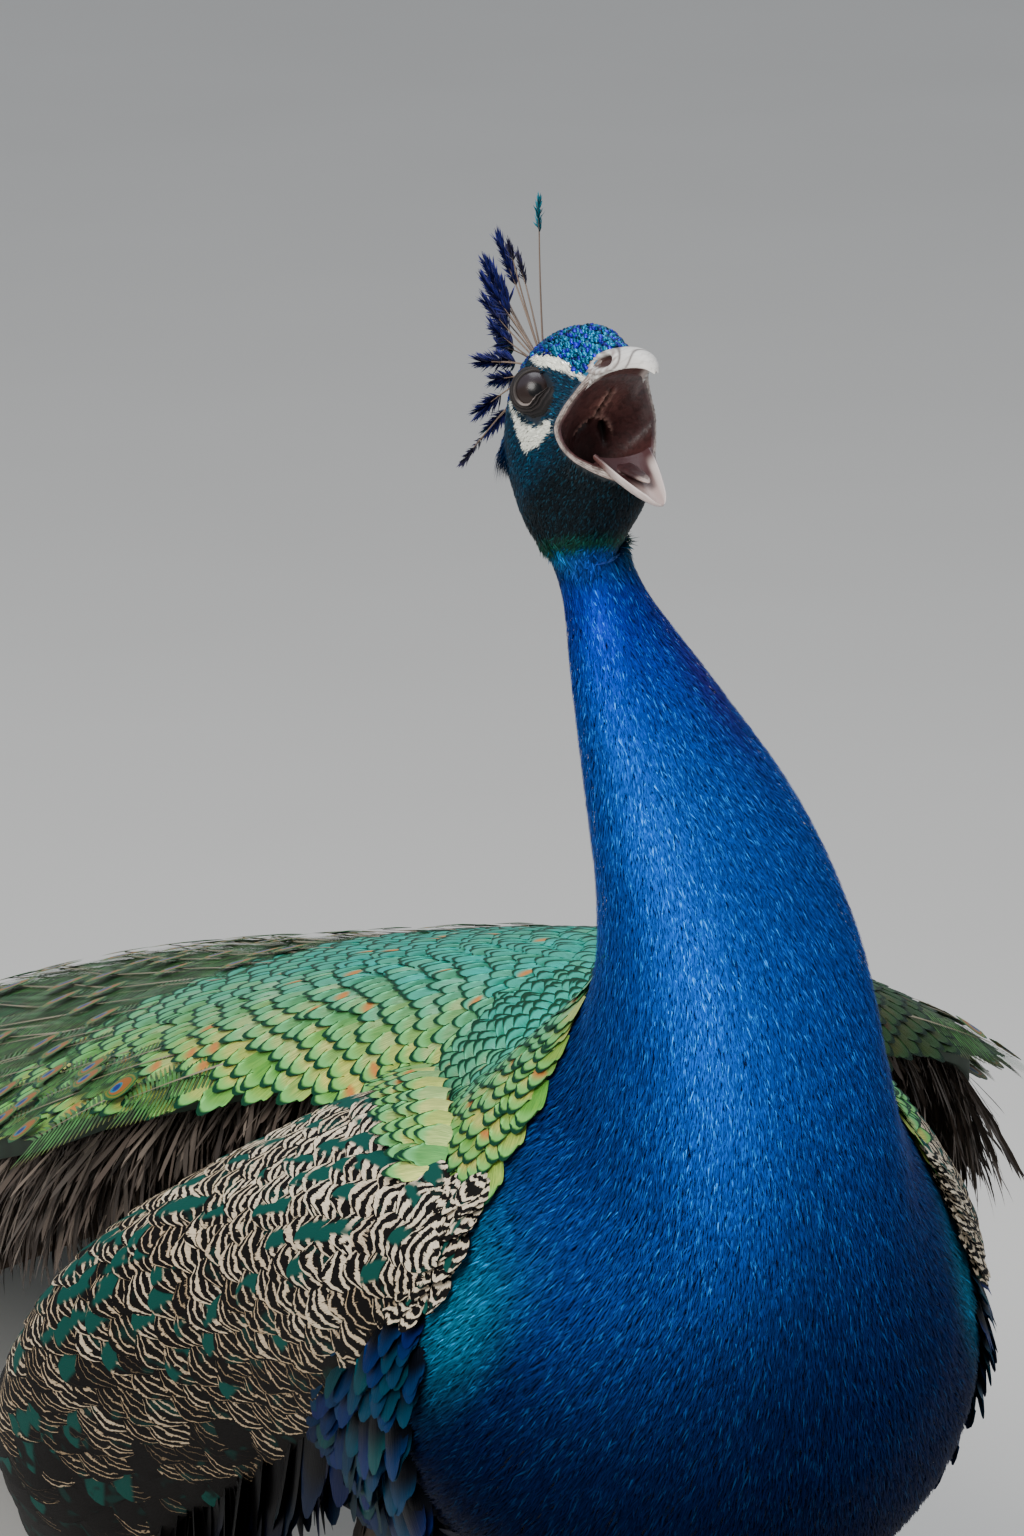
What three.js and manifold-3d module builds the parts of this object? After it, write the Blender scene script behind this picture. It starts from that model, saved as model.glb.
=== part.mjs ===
// A male Indian peafowl, life size, calling with its bill wide open: a still standing model in millimetres.
// The bird faces -Y, +X is its left and +Z is up. Every piece is a closed solid; flesh is one loft parted by thin cuts.
import * as THREE from "three";
import { mergeVertices } from "three/addons/utils/BufferGeometryUtils.js";
import Module from "manifold-3d";

const wasm = await Module();
wasm.setup();

// ---- Driving dimensions -------------------------------------------------------------------------------------------
const CLEARANCE = 0.4; // between neighbouring solids
const FLOOR = 0;
const CUT = 0.022; // thickness of a parting cut through the body, in stations

const BODY_SIDES = 20;
const BODY_STEPS = 2; // rings for each body station
const HEAD_SIDES = 22;

// Head: its origin is midway between the two gape corners, its x axis runs along the skull, y to the bird's left.
const GAPE = [-31, -122.5, 763.5];
const HEAD_YAW = 18; // degrees to the bird's left
const HEAD_PITCH = 28; // degrees, bill raised
const JAW_DROP = 56; // degrees between the skull's axis and the lower jaw
const UPPER_BILL_TIP = 43.5;
const LOWER_BILL_LENGTH = 45.5;
const EYE_CENTRE = [-10.2, 16.9, 18.4];
const EYE_RADIUS = 9.3;

const HOCK = [57, 52, 172];
const FOOT = [56, 8, 15];
const SPUR_HEIGHT = 58;
const TOE_RADIUS = 5.6;
const CLAW_LENGTH = 15;

const WING_SIDES = 8;
const TRAIN_SIDES = 10;
const TRAIN_END = 1500;

// ---- Profiles ----------------------------------------------------------------------------------------------------
// The body from the tail root to the top of the neck: [x, y, z on the back, x, y, z on the belly, half width].
const BODY = [
  [0, 336, 388, 0, 326, 366, 26],
  [0, 258, 432, 0, 262, 334, 82],
  [0, 150, 468, 0, 148, 306, 106],
  [0, 50, 490, 0, 42, 290, 107],
  [0, -24, 508, 2, -58, 292, 110],
  [2, -58, 520, 8, -153, 317, 114],
  [1, -80, 538, 14, -200, 371, 92],
  [5, -94, 560, 22, -214, 436, 63],
  [6, -101, 585, 21, -210, 496, 52],
  [4, -102, 614, 17, -196, 548, 47],
  [-4, -101, 645, 6, -175, 598, 40],
  [-16, -96, 676, -9, -148, 646, 28],
  [-27, -90, 704, -22, -123, 686, 16.5],
  [-35, -85, 722, -31, -116, 712, 15],
];

// The head behind the mouth, in its own frame: [top x, z, bottom x, z, half width, how far the sides lie back].
const SKULL = [
  [-50, -6, -29, -45, 16.5, 0],
  [-46, 15, -25, -42, 20, 0],
  [-33, 30, -18, -38.5, 23, 1],
  [-13, 38, -8.5, -35, 23.5, 4],
  [6, 36.5, 1.5, -30.5, 22, 9],
];
const SKULL_SQUARE = 0.82; // 1 for an oval section, less for a boxier one

// Half of the feather line round both jaws, from the top of the bill past the gape corner to the chin: [x, y, z].
const JAW_LINE = [
  [22, 0, 22.5],
  [21, 7.5, 20],
  [18.8, 12.6, 15],
  [12.5, 15.8, 11],
  [6.5, 18.9, 6.8],
  [2, 21.3, 1.4],
  [0.6, 20.3, -5.5],
  [2.4, 17.6, -12],
  [6.5, 13, -18.5],
  [10, 7, -23.5],
  [10, 0, -25.5],
];
// The same line where it turns into the mouth's lining.
const MOUTH_LINE = [
  [19, 0, 12.6],
  [19, 5, 12.4],
  [18, 9.8, 11.8],
  [12.5, 13.2, 9.6],
  [7.2, 16.8, 5],
  [3, 19.2, 0.6],
  [1.9, 18.6, -5],
  [3.2, 15.8, -10.6],
  [6.5, 11, -15.5],
  [8.6, 5.5, -18],
  [9, 0, -18.8],
];
// Rings of the throat: [x, z of the middle, half width, half height].
const THROAT = [
  [-8, -7, 12, 9.5],
  [-18, -12, 6, 5],
];

// The upper bill: [x, ridge z, cutting edge z, half width].
const UPPER_BILL = [
  [13, 23.5, 10.2, 12.6],
  [22, 22.6, 12.2, 11.2],
  [30, 20.4, 12, 8.8],
  [37, 16.8, 10.6, 6],
  [41.5, 12.4, 8.4, 3.2],
  [UPPER_BILL_TIP, 7.6, 5.6, 0.8],
];
// The lower bill: [distance along the jaw, half width, keel depth, trough depth].
const LOWER_BILL = [
  [15, 12.4, 5.6, 2.6],
  [23, 10.4, 6.8, 3.8],
  [31, 7.9, 6.2, 3.6],
  [38, 5.3, 4.8, 2.6],
  [43, 2.9, 3, 1.3],
  [LOWER_BILL_LENGTH, 0.8, 1.2, 0.3],
];

// A folded wing: [top x, y, z, bottom x, y, z, outward bulge, thickness], for the bird's left side.
const WING = [
  [92, -132, 466, 99, -122, 432, 6, 16],
  [90, -92, 488, 112, -84, 398, 24, 40],
  [94, -25, 488, 122, 0, 346, 48, 62],
  [104, 65, 446, 140, 90, 292, 78, 92],
  [112, 165, 378, 162, 185, 240, 64, 78],
  [118, 260, 334, 170, 280, 218, 28, 38],
  [126, 345, 298, 160, 352, 228, 9, 12],
  [138, 405, 256, 144, 407, 245, 2, 5],
];
const WING_SPREAD = { right: 1, left: 0.7 }; // how far each wing is held out from the body

// The train and the cape of back feathers in front of it: [y, x of the ridge, top z, half width, drop of the sides, thickness].
const TRAIN = [
  [-34, 2, 529, 78, 48, 14],
  [20, 8, 525, 114, 44, 26],
  [90, 9, 513, 170, 56, 36],
  [160, 8, 496, 197, 68, 42],
  [280, 4, 464, 210, 76, 40],
  [480, 0, 407, 204, 72, 34],
  [760, 0, 326, 186, 56, 28],
  [1040, 0, 226, 174, 42, 24],
  [1270, 0, 106, 168, 28, 20],
  [1420, 0, 28, 152, 12, 17],
  [TRAIN_END, 0, 11, 116, 5, 13],
];
const EDGE_LAG = 17; // how far the rows of feathers fall back at the two edges
const TRAIN_CUTS = [4, 7]; // stations where the train is parted

// The true tail under the train: [y, z, half width].
const TAIL = [
  [205, 404, 30],
  [300, 380, 58],
  [430, 338, 74],
  [560, 292, 84],
  [612, 274, 70],
];
const TAIL_THICKNESS = 11;

// ---- Small helpers ----------------------------------------------------------------------------------------------
const radians = THREE.MathUtils.degToRad;
const point = (p) => new THREE.Vector3(...p);

// Uniform Catmull-Rom through rows of numbers.
function along(keys, t) {
  const last = keys.length - 1;
  const i = Math.min(Math.floor(Math.max(t, 0)), last - 1);
  const u = Math.min(Math.max(t, 0), last) - i;
  const p1 = keys[i];
  const p2 = keys[i + 1];
  return p1.map((b, k) => {
    const c = p2[k];
    const a = i > 0 ? keys[i - 1][k] : 2 * b - c;
    const d = i < last - 1 ? keys[i + 2][k] : 2 * c - b;
    return 0.5 * (2 * b + (c - a) * u + (2 * a - 5 * b + 4 * c - d) * u * u + (3 * b - a - 3 * c + d) * u ** 3);
  });
}

const steps = (n, from = 0, to = 1) => Array.from({ length: n + 1 }, (_, i) => from + ((to - from) * i) / n);
const around = (n, point) => Array.from({ length: n }, (_, i) => point((2 * Math.PI * i) / n));
const middle = (ring) => ring.reduce((sum, p) => sum.add(p), new THREE.Vector3()).divideScalar(ring.length);

// The faces between rings of equal count.
function tubeFaces(rings) {
  const n = rings[0].length;
  const faces = [];
  for (let r = 0; r < rings.length - 1; r++) {
    for (let i = 0; i < n; i++) {
      const a = r * n + i;
      const b = r * n + ((i + 1) % n);
      faces.push(a, b, b + n, a, b + n, a + n);
    }
  }
  return faces;
}

// A closed mesh from rings, with each end closed by a fan to the ring's middle or to a given point.
function ringMesh(rings, startPoint, endPoint) {
  const n = rings[0].length;
  const points = rings.flat();
  const start = points.push(startPoint ?? middle(rings[0])) - 1;
  const end = points.push(endPoint ?? middle(rings.at(-1))) - 1;
  const faces = tubeFaces(rings);
  const lastRing = (rings.length - 1) * n;
  for (let i = 0; i < n; i++) {
    faces.push(start, (i + 1) % n, i, end, lastRing + i, lastRing + ((i + 1) % n));
  }
  return facingOut(new THREE.BufferGeometry().setFromPoints(points).setIndex(faces));
}

// A closed mesh from flat arched rings, whose upper and under points pair up across each end.
function slabMesh(rings) {
  const n = rings[0].length;
  const faces = tubeFaces(rings);
  const lastRing = (rings.length - 1) * n;
  for (let i = 0; i < n / 2; i++) {
    const across = (n - i) % n;
    const nextAcross = n - i - 1;
    if (nextAcross !== i + 1) {
      faces.push(i, nextAcross, i + 1, lastRing + i, lastRing + i + 1, lastRing + nextAcross);
    }
    if (across !== i) {
      faces.push(i, across, nextAcross, lastRing + i, lastRing + nextAcross, lastRing + across);
    }
  }
  return facingOut(new THREE.BufferGeometry().setFromPoints(rings.flat()).setIndex(faces));
}

function facingOut(geometry) {
  const p = geometry.attributes.position;
  const index = geometry.index.array;
  const [a, b, c] = [new THREE.Vector3(), new THREE.Vector3(), new THREE.Vector3()];
  let volume = 0;
  for (let i = 0; i < index.length; i += 3) {
    a.fromBufferAttribute(p, index[i]);
    b.fromBufferAttribute(p, index[i + 1]);
    c.fromBufferAttribute(p, index[i + 2]);
    volume += a.dot(b.cross(c));
  }
  if (volume < 0) {
    for (let i = 0; i < index.length; i += 3) {
      [index[i + 1], index[i + 2]] = [index[i + 2], index[i + 1]];
    }
  }
  return geometry;
}

// A copy of a closed mesh pushed outwards along its normals, which is what its neighbours are cut with.
function grown(geometry, by = CLEARANCE) {
  const copy = geometry.clone();
  copy.computeVertexNormals();
  const p = copy.attributes.position;
  const n = copy.attributes.normal;
  for (let i = 0; i < p.count; i++) {
    p.setXYZ(i, p.getX(i) + by * n.getX(i), p.getY(i) + by * n.getY(i), p.getZ(i) + by * n.getZ(i));
  }
  copy.deleteAttribute("normal");
  return copy;
}

function solid(geometry) {
  const bare = new THREE.BufferGeometry()
    .setAttribute("position", geometry.getAttribute("position").clone())
    .setIndex(geometry.index);
  const merged = mergeVertices(bare, 1e-4);
  return new wasm.Manifold(
    new wasm.Mesh({
      numProp: 3,
      vertProperties: new Float32Array(merged.attributes.position.array),
      triVerts: new Uint32Array(merged.index.array),
    }),
  );
}

function meshOf(manifold) {
  const m = manifold.getMesh();
  const positions = new Float32Array(m.numVert * 3);
  for (let i = 0; i < m.numVert; i++) {
    positions.set(m.vertProperties.subarray(i * m.numProp, i * m.numProp + 3), i * 3);
  }
  return new THREE.BufferGeometry()
    .setAttribute("position", new THREE.BufferAttribute(positions, 3))
    .setIndex(new THREE.BufferAttribute(new Uint32Array(m.triVerts), 1));
}

const biggest = (manifold) => manifold.decompose().reduce((a, b) => (a.volume() > b.volume() ? a : b));

// A mesh less its grown neighbours, as one body, standing on the floor if it would reach below it.
function carved(geometry, ...neighbours) {
  return meshOf(biggest(less(geometry, neighbours).trimByPlane([0, 0, 1], FLOOR)));
}

function less(geometry, neighbours) {
  return neighbours.reduce((body, other) => body.subtract(solid(grown(other))), solid(geometry));
}

function joined(...geometries) {
  return meshOf(geometries.map(solid).reduce((a, b) => a.add(b)));
}

// Rings round a path of [centre, radius] keys, squashed upright by flat.
function limbMesh(keys, sides, rings, flat = 1) {
  const at = (t) => along(keys, t * (keys.length - 1));
  return ringMesh(
    steps(rings).map((t) => {
      const [x, y, z, r] = at(t);
      const before = point(at(Math.max(t - 0.02, 0)).slice(0, 3));
      const forward = point(at(Math.min(t + 0.02, 1)).slice(0, 3)).sub(before).normalize();
      const aside = new THREE.Vector3(1, 0, 0).addScaledVector(forward, -forward.x).normalize();
      const raised = forward.clone().cross(aside);
      return around(sides, (a) =>
        new THREE.Vector3(x, y, z)
          .addScaledVector(aside, r * Math.cos(a))
          .addScaledVector(raised, r * flat * Math.sin(a)),
      );
    }),
  );
}

function blade(root, tip, width, thickness) {
  const from = point(root);
  const to = point(tip);
  const geometry = new THREE.SphereGeometry(1, 5, 4).rotateZ(Math.PI / 2);
  geometry.deleteAttribute("normal");
  geometry.deleteAttribute("uv");
  const span = to.clone().sub(from);
  const aside = new THREE.Vector3(span.y, -span.x, 0).normalize();
  const raised = aside.clone().cross(span).normalize();
  const matrix = new THREE.Matrix4().makeBasis(
    span.clone().multiplyScalar(0.5),
    aside.multiplyScalar(width / 2),
    raised.multiplyScalar(thickness / 2),
  );
  matrix.setPosition(from.add(to).multiplyScalar(0.5));
  return facingOut(mergeVertices(geometry, 1e-4).applyMatrix4(matrix));
}

// ---- Materials -------------------------------------------------------------------------------------------------
const finish = (color, roughness, metalness) => new THREE.MeshStandardMaterial({ color, roughness, metalness });
const BLUE = finish(0x0f3a9e, 0.4, 0.5);
const DARK_TEAL = finish(0x0c3a44, 0.5, 0.4);
const BLACK_BROWN = finish(0x241d1a, 0.8, 0);
const BARRED = finish(0x8a7a62, 0.7, 0);
const RUFOUS = finish(0x7c4a2c, 0.7, 0);
const GREEN_GOLD = finish(0x3f8a4e, 0.4, 0.5);
const TRAIN_GREEN = finish(0x2c6b3c, 0.5, 0.4);
const TAIL_BROWN = finish(0x5d5046, 0.8, 0);
const HORN = finish(0xcfc6bc, 0.45, 0);
const FLESH = finish(0x5a3236, 0.5, 0);
const EYE_BROWN = finish(0x2a1a14, 0.1, 0);
const SHANK_GREY = finish(0x8b8273, 0.7, 0);
const CLAW_DARK = finish(0x3d352f, 0.5, 0);

const bird = new THREE.Group();
function add(name, geometry, material, parent = bird) {
  const mesh = new THREE.Mesh(geometry, material);
  mesh.name = name;
  parent.add(mesh);
  return mesh;
}

// ---- Trunk and neck: one loft parted by thin cuts ---------------------------------------------------------------
// An oval standing on its belly point, a being the angle from the back.
function bodySection([backX, backY, backZ, bellyX, bellyY, bellyZ, width], sides) {
  const back = new THREE.Vector3(backX, backY, backZ);
  const belly = new THREE.Vector3(bellyX, bellyY, bellyZ);
  return around(sides, (a) => {
    const p = belly.clone().lerp(back, 0.5 + 0.5 * Math.cos(a));
    p.x += width * Math.sin(a);
    return p;
  });
}

function bodyRing(t) {
  return bodySection(along(BODY, t), BODY_SIDES);
}

function bodyPart(from, to) {
  const rings = Math.round((to - from) * BODY_STEPS);
  const start = from > 0 ? from + CUT / 2 : from;
  const end = to < BODY.length - 1 ? to - CUT / 2 : to;
  return ringMesh(steps(rings, start, end).map(bodyRing));
}

const NECK_TOP = BODY.length - 1;
const wholeBody = bodyPart(0, NECK_TOP);
const BODY_PARTS = [
  ["rump", 0, 2, BLACK_BROWN],
  ["trunk", 2, 5, BLACK_BROWN],
  ["breast", 5, 7, BLUE],
  ["neck_lower", 7, 9, BLUE],
  ["neck_middle", 9, 11, BLUE],
  ["neck_upper", 11, NECK_TOP, BLUE],
];
for (const [name, from, to, material] of BODY_PARTS) {
  add(name, bodyPart(from, to), material);
}

// ---- Head, in its own turned group --------------------------------------------------------------------------------
const head = new THREE.Group();
head.position.set(...GAPE);
head.rotation.order = "ZYX";
// Yaw turns the head's x axis, first set along -Y, to the bird's left; pitch raises the bill.
head.rotation.set(0, radians(-HEAD_PITCH), radians(HEAD_YAW - 90));
bird.add(head);
head.updateMatrixWorld(true);
const toHead = head.matrixWorld.clone().invert();

// Half a line of points from top to bottom made into a closed ring, a being the angle from the top.
function mirroredRing(half) {
  const last = half.length - 1;
  return around(HEAD_SIDES, (a) => {
    const side = a <= Math.PI ? 1 : -1;
    const [x, y, z] = along(half, (last * (a <= Math.PI ? a : 2 * Math.PI - a)) / Math.PI);
    return new THREE.Vector3(x, side * Math.abs(y), z);
  });
}

function skullRing(t) {
  const [topX, topZ, bottomX, bottomZ, width, back] = along(SKULL, t);
  return around(HEAD_SIDES, (a) => {
    const s = 0.5 + 0.5 * Math.cos(a);
    return new THREE.Vector3(
      bottomX + (topX - bottomX) * s - back * Math.sin(a) ** 2,
      width * Math.sign(Math.sin(a)) * Math.abs(Math.sin(a)) ** SKULL_SQUARE,
      bottomZ + (topZ - bottomZ) * s,
    );
  });
}

function neckTopRing() {
  const clear = new THREE.Vector3(0, 0, 2 * CLEARANCE); // above the neck's own end face
  return bodySection(BODY[NECK_TOP], HEAD_SIDES).map((p) => p.add(clear).applyMatrix4(toHead));
}

function throatRing([x, z, halfWidth, halfHeight]) {
  return around(HEAD_SIDES, (a) => new THREE.Vector3(x, halfWidth * Math.sin(a), z + halfHeight * Math.cos(a)));
}

function headMesh() {
  const skull = steps(6, 0, SKULL.length - 1).map(skullRing);
  const jaw = mirroredRing(JAW_LINE);
  const brow = skull.at(-1).map((p, i) => p.clone().lerp(jaw[i], 0.5));
  const throat = THROAT.map(throatRing);
  const [endX, endZ] = THROAT.at(-1);
  const rings = [neckTopRing(), ...skull, brow, jaw, mirroredRing(MOUTH_LINE), ...throat];
  return ringMesh(rings, undefined, new THREE.Vector3(endX - 4, 0, endZ));
}

// ---- Bill, tongue, eyes and crest ----------------------------------------------------------------------------------
function upperBillMesh(sides = 8) {
  const arch = 1.6;
  const rings = steps(7, 0, UPPER_BILL.length - 1).map((t) => {
    const [x, ridge, edge, width] = along(UPPER_BILL, t);
    const over = steps(sides, -Math.PI / 2, Math.PI / 2).map(
      (a) => new THREE.Vector3(x, width * Math.sin(a), edge + (ridge - edge) * Math.cos(a) ** 0.8),
    );
    const under = steps(2, 0.6, -0.6).map(
      (q) => new THREE.Vector3(x, width * q, edge + Math.min(arch, (ridge - edge) / 3) * (1 - q * q)),
    );
    return [...over, ...under];
  });
  return ringMesh(rings);
}

function lowerBillMesh(sides = 8) {
  const jaw = new THREE.Vector3(Math.cos(radians(JAW_DROP)), 0, -Math.sin(radians(JAW_DROP)));
  const down = new THREE.Vector3(-Math.sin(radians(JAW_DROP)), 0, -Math.cos(radians(JAW_DROP)));
  const at = (s, y, depth) => jaw.clone().multiplyScalar(s).addScaledVector(down, depth).setY(y);
  const rings = steps(6, 0, LOWER_BILL.length - 1).map((t) => {
    const [s, width, keel, trough] = along(LOWER_BILL, t);
    const outer = steps(sides, -Math.PI / 2, Math.PI / 2).map((a) => at(s, width * Math.sin(a), keel * Math.cos(a)));
    const inner = steps(4, 0.8, -0.8).map((q) => at(s, width * q, trough * (1 - q * q)));
    return [...outer, ...inner];
  });
  return ringMesh(rings);
}

function tongueMesh() {
  const keys = [
    [-6, 0, -12.5, 4.6],
    [3, 0, -15.5, 4.6],
    [11, 0, -20.6, 3.8],
    [17.5, 0, -25.6, 2.4],
    [20, 0, -27.8, 0.7],
  ];
  const rings = steps(5).map((t) => {
    const [x, , z, r] = along(keys, t * (keys.length - 1));
    return around(8, (a) => new THREE.Vector3(x + 0.25 * r * Math.sin(a), r * Math.cos(a), z + 0.35 * r * Math.sin(a)));
  });
  return ringMesh(rings);
}

function eyeMesh(side) {
  const [x, y, z] = EYE_CENTRE;
  const ball = new THREE.SphereGeometry(EYE_RADIUS, 12, 7).rotateX(Math.PI / 2);
  ball.deleteAttribute("normal");
  ball.deleteAttribute("uv");
  return facingOut(mergeVertices(ball, 1e-4).translate(x, side * y, z));
}

// The crest: [angle in the head's upright plane from straight ahead, sideways lean, length, fan length] in degrees and mm.
const CREST = [
  [62, -2, 65, 13],
  [93.5, 4, 47, 13],
  [79, -8, 50, 9],
  [98.5, 0, 55, 19],
  [105.5, -6, 49.5, 19],
  [109, -10, 44, 18],
  [119, 6, 56, 18],
  [126, 4, 51, 18],
  [122, -6, 42, 17],
  [135, 8, 51.5, 16],
  [137, 0, 39, 15],
  [149.5, 6, 41, 14],
  [152, -6, 28, 10],
  [156, -20, 33, 12],
  [169, -10, 31, 12],
  [189, -20, 37.5, 13],
  [197, -12, 41, 14],
  [202, -16, 57, 15],
];
const CREST_ROOT = [-28, 0, 32];

function crestMesh() {
  const [rootX, , rootZ] = CREST_ROOT;
  const base = new THREE.SphereGeometry(1, 8, 4).scale(7, 4, 4).translate(rootX, 0, rootZ);
  base.deleteAttribute("normal");
  base.deleteAttribute("uv");
  const parts = [facingOut(mergeVertices(base, 1e-4))];
  for (const [angle, lean, length, fan] of CREST) {
    const up = radians(angle);
    const out = new THREE.Vector3(Math.cos(up), Math.sin(radians(lean)), Math.sin(up)).normalize();
    const root = new THREE.Vector3(rootX, 0, rootZ);
    const stemEnd = root.clone().addScaledVector(out, length - fan * 0.6);
    const tip = root.clone().addScaledVector(out, length);
    const stem = limbMesh([[...root.toArray(), 0.75], [...stemEnd.toArray(), 0.65]], 4, 1);
    const fanRoot = root.clone().addScaledVector(out, length - fan);
    parts.push(stem, crestFan(fanRoot, tip, out));
  }
  return joined(...parts);
}

// A feather fan lying in the head's upright plane.
function crestFan(from, to, out) {
  const fan = new THREE.SphereGeometry(1, 5, 4);
  fan.deleteAttribute("normal");
  fan.deleteAttribute("uv");
  const broad = new THREE.Vector3(0, 1, 0).cross(out).normalize();
  const thin = out.clone().cross(broad);
  const half = from.distanceTo(to) / 2;
  const matrix = new THREE.Matrix4().makeBasis(
    out.clone().multiplyScalar(half),
    broad.multiplyScalar(4.6),
    thin.multiplyScalar(1.1),
  );
  matrix.setPosition(from.clone().add(to).multiplyScalar(0.5));
  return facingOut(mergeVertices(fan.rotateZ(Math.PI / 2), 1e-4).applyMatrix4(matrix));
}

const upperBill = upperBillMesh();
const lowerBill = lowerBillMesh();
const tongue = tongueMesh();
const eyes = { left: eyeMesh(1), right: eyeMesh(-1) };
const crest = crestMesh();
const wholeHead = headMesh();
add("head", carvedOnHead(wholeHead, upperBill, lowerBill, tongue, eyes.left, eyes.right, crest), DARK_TEAL, head);
add("bill_upper", withNostrils(upperBill), HORN, head);
add("bill_lower", lowerBill, HORN, head);
add("tongue", carvedOnHead(tongue, lowerBill), FLESH, head);
add("eye_left", eyes.left, EYE_BROWN, head);
add("eye_right", eyes.right, EYE_BROWN, head);
add("crest", crest, BLUE, head);

// As carved, in the head's frame, where there is no floor.
function carvedOnHead(geometry, ...neighbours) {
  return meshOf(biggest(less(geometry, neighbours)));
}

function withNostrils(bill) {
  const [x, y, z] = [24.5, 9.9, 17.6];
  const hole = (side) => {
    const dent = new THREE.SphereGeometry(1, 6, 5).scale(4.6, 3, 1.9).rotateY(radians(18));
    dent.deleteAttribute("normal");
    dent.deleteAttribute("uv");
    return facingOut(mergeVertices(dent, 1e-4).translate(x, side * y, z));
  };
  return meshOf(biggest(solid(bill).subtract(solid(hole(1))).subtract(solid(hole(-1)))));
}

// ---- Wings -------------------------------------------------------------------------------------------------------------
function wingRing(t, side, spread) {
  const [tx, ty, tz, bx, by, bz, fullBulge, thickness] = along(WING, t);
  const bulge = fullBulge * spread;
  const top = new THREE.Vector3(tx, ty, tz);
  const bottom = new THREE.Vector3(bx, by, bz);
  const out = new THREE.Vector3(1, 0, 0.12).normalize();
  const at = (s, outward) =>
    top
      .clone()
      .lerp(bottom, s)
      .addScaledVector(out, outward * 4 * s * (1 - s))
      .multiply(new THREE.Vector3(side, 1, 1));
  const outer = steps(WING_SIDES).map((s) => at(s, bulge));
  const inner = steps(WING_SIDES - 2, 0.92, 0.08).map((s) => at(s, bulge - thickness));
  return [...outer, ...inner];
}

function wingPart(word, from, to) {
  const side = word === "left" ? 1 : -1;
  const start = from > 0 ? from + CUT / 2 : from;
  const end = to < WING.length - 1 ? to - CUT / 2 : to;
  const rings = steps(Math.round((to - from) * 2), start, end).map((t) => wingRing(t, side, WING_SPREAD[word]));
  return slabMesh(rings);
}

const WING_END = WING.length - 1;
const QUILLS_FROM = 4; // station where the long flight feathers leave the coverts
const wholeWings = {};
for (const word of ["right", "left"]) {
  wholeWings[word] = wingPart(word, 0, WING_END);
  add(`wing_${word}`, carved(wingPart(word, 0, QUILLS_FROM), wholeBody), BARRED);
  add(`flight_feathers_${word}`, carved(wingPart(word, QUILLS_FROM, WING_END), wholeBody), RUFOUS);
}

// ---- Legs and feet ---------------------------------------------------------------------------------------------------------
const thighs = {};
for (const [word, side] of [["right", -1], ["left", 1]]) {
  const [hx, hy, hz] = HOCK;
  const [fx, fy, fz] = FOOT;
  const thigh = limbMesh(
    [
      [side * 46, -8, 352, 46],
      [side * 54, 4, 298, 40],
      [side * 58, 26, 240, 27],
      [side * hx, hy - 6, hz + 14, 12],
      [side * hx, hy, hz, 9],
    ],
    12,
    6,
    1.15,
  );
  thighs[word] = carved(thigh, wholeBody, wholeWings[word]);
  add(`thigh_${word}`, thighs[word], BLACK_BROWN);

  const shank = limbMesh(
    [
      [side * hx, hy + 1, hz + 8, 8.2],
      [side * (hx - 0.3), hy - 6, hz - 16, 7.6],
      [side * (hx - 0.6), (hy + fy) / 2 + 4, hz / 2 + 12, 6.4],
      [side * fx, fy + 6, fz + 26, 6.2],
      [side * fx, fy, fz + 4, 9.4],
      [side * fx, fy - 1, fz - 8, 8],
    ],
    9,
    8,
    1.15,
  );
  const shankSolid = carved(shank, thigh);
  add(`shank_${word}`, shankSolid, SHANK_GREY);

  const spurY = fy + 14;
  const spur = limbMesh(
    [
      [side * (fx - 2), spurY - 4, SPUR_HEIGHT, 4.6],
      [side * (fx - 7), spurY + 9, SPUR_HEIGHT + 3, 3.4],
      [side * (fx - 10), spurY + 22, SPUR_HEIGHT + 10, 0.7],
    ],
    8,
    5,
  );
  add(`spur_${word}`, carved(spur, shank), CLAW_DARK);

  // Toes: [name, degrees away from the body's midline, length without claw].
  const TOES = [
    ["inner", -30, 42],
    ["middle", 8, 64],
    ["outer", 42, 46],
    ["hind", 172, 24],
  ];
  const toes = [];
  const claws = [];
  for (const [toeName, splay, length] of TOES) {
    const turn = radians(splay);
    const dir = new THREE.Vector3(side * Math.sin(turn), -Math.cos(turn), 0);
    const at = (s, z) => new THREE.Vector3(side * fx, fy, z).addScaledVector(dir, s).toArray();
    const r = toeName === "hind" ? TOE_RADIUS * 0.8 : TOE_RADIUS;
    const toe = limbMesh(
      [
        [...at(3, r * 1.5), r],
        [...at(length * 0.4, r * 0.78), r * 0.95],
        [...at(length * 0.75, r * 0.68), r * 0.85],
        [...at(length, r * 0.6), r * 0.7],
      ],
      7,
      3,
    );
    const claw = limbMesh(
      [
        [...at(length - 4, r * 0.8), r * 0.5],
        [...at(length + CLAW_LENGTH * 0.5, r * 0.95), r * 0.42],
        [...at(length + CLAW_LENGTH, r * 0.32), 0.5],
      ],
      6,
      3,
    );
    toes.push(toe);
    claws.push(claw);
    add(`claw_${toeName}_${word}`, carved(claw), CLAW_DARK);
  }
  add(`foot_${word}`, carved(joined(...toes), shank, ...claws), SHANK_GREY);
}

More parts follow.
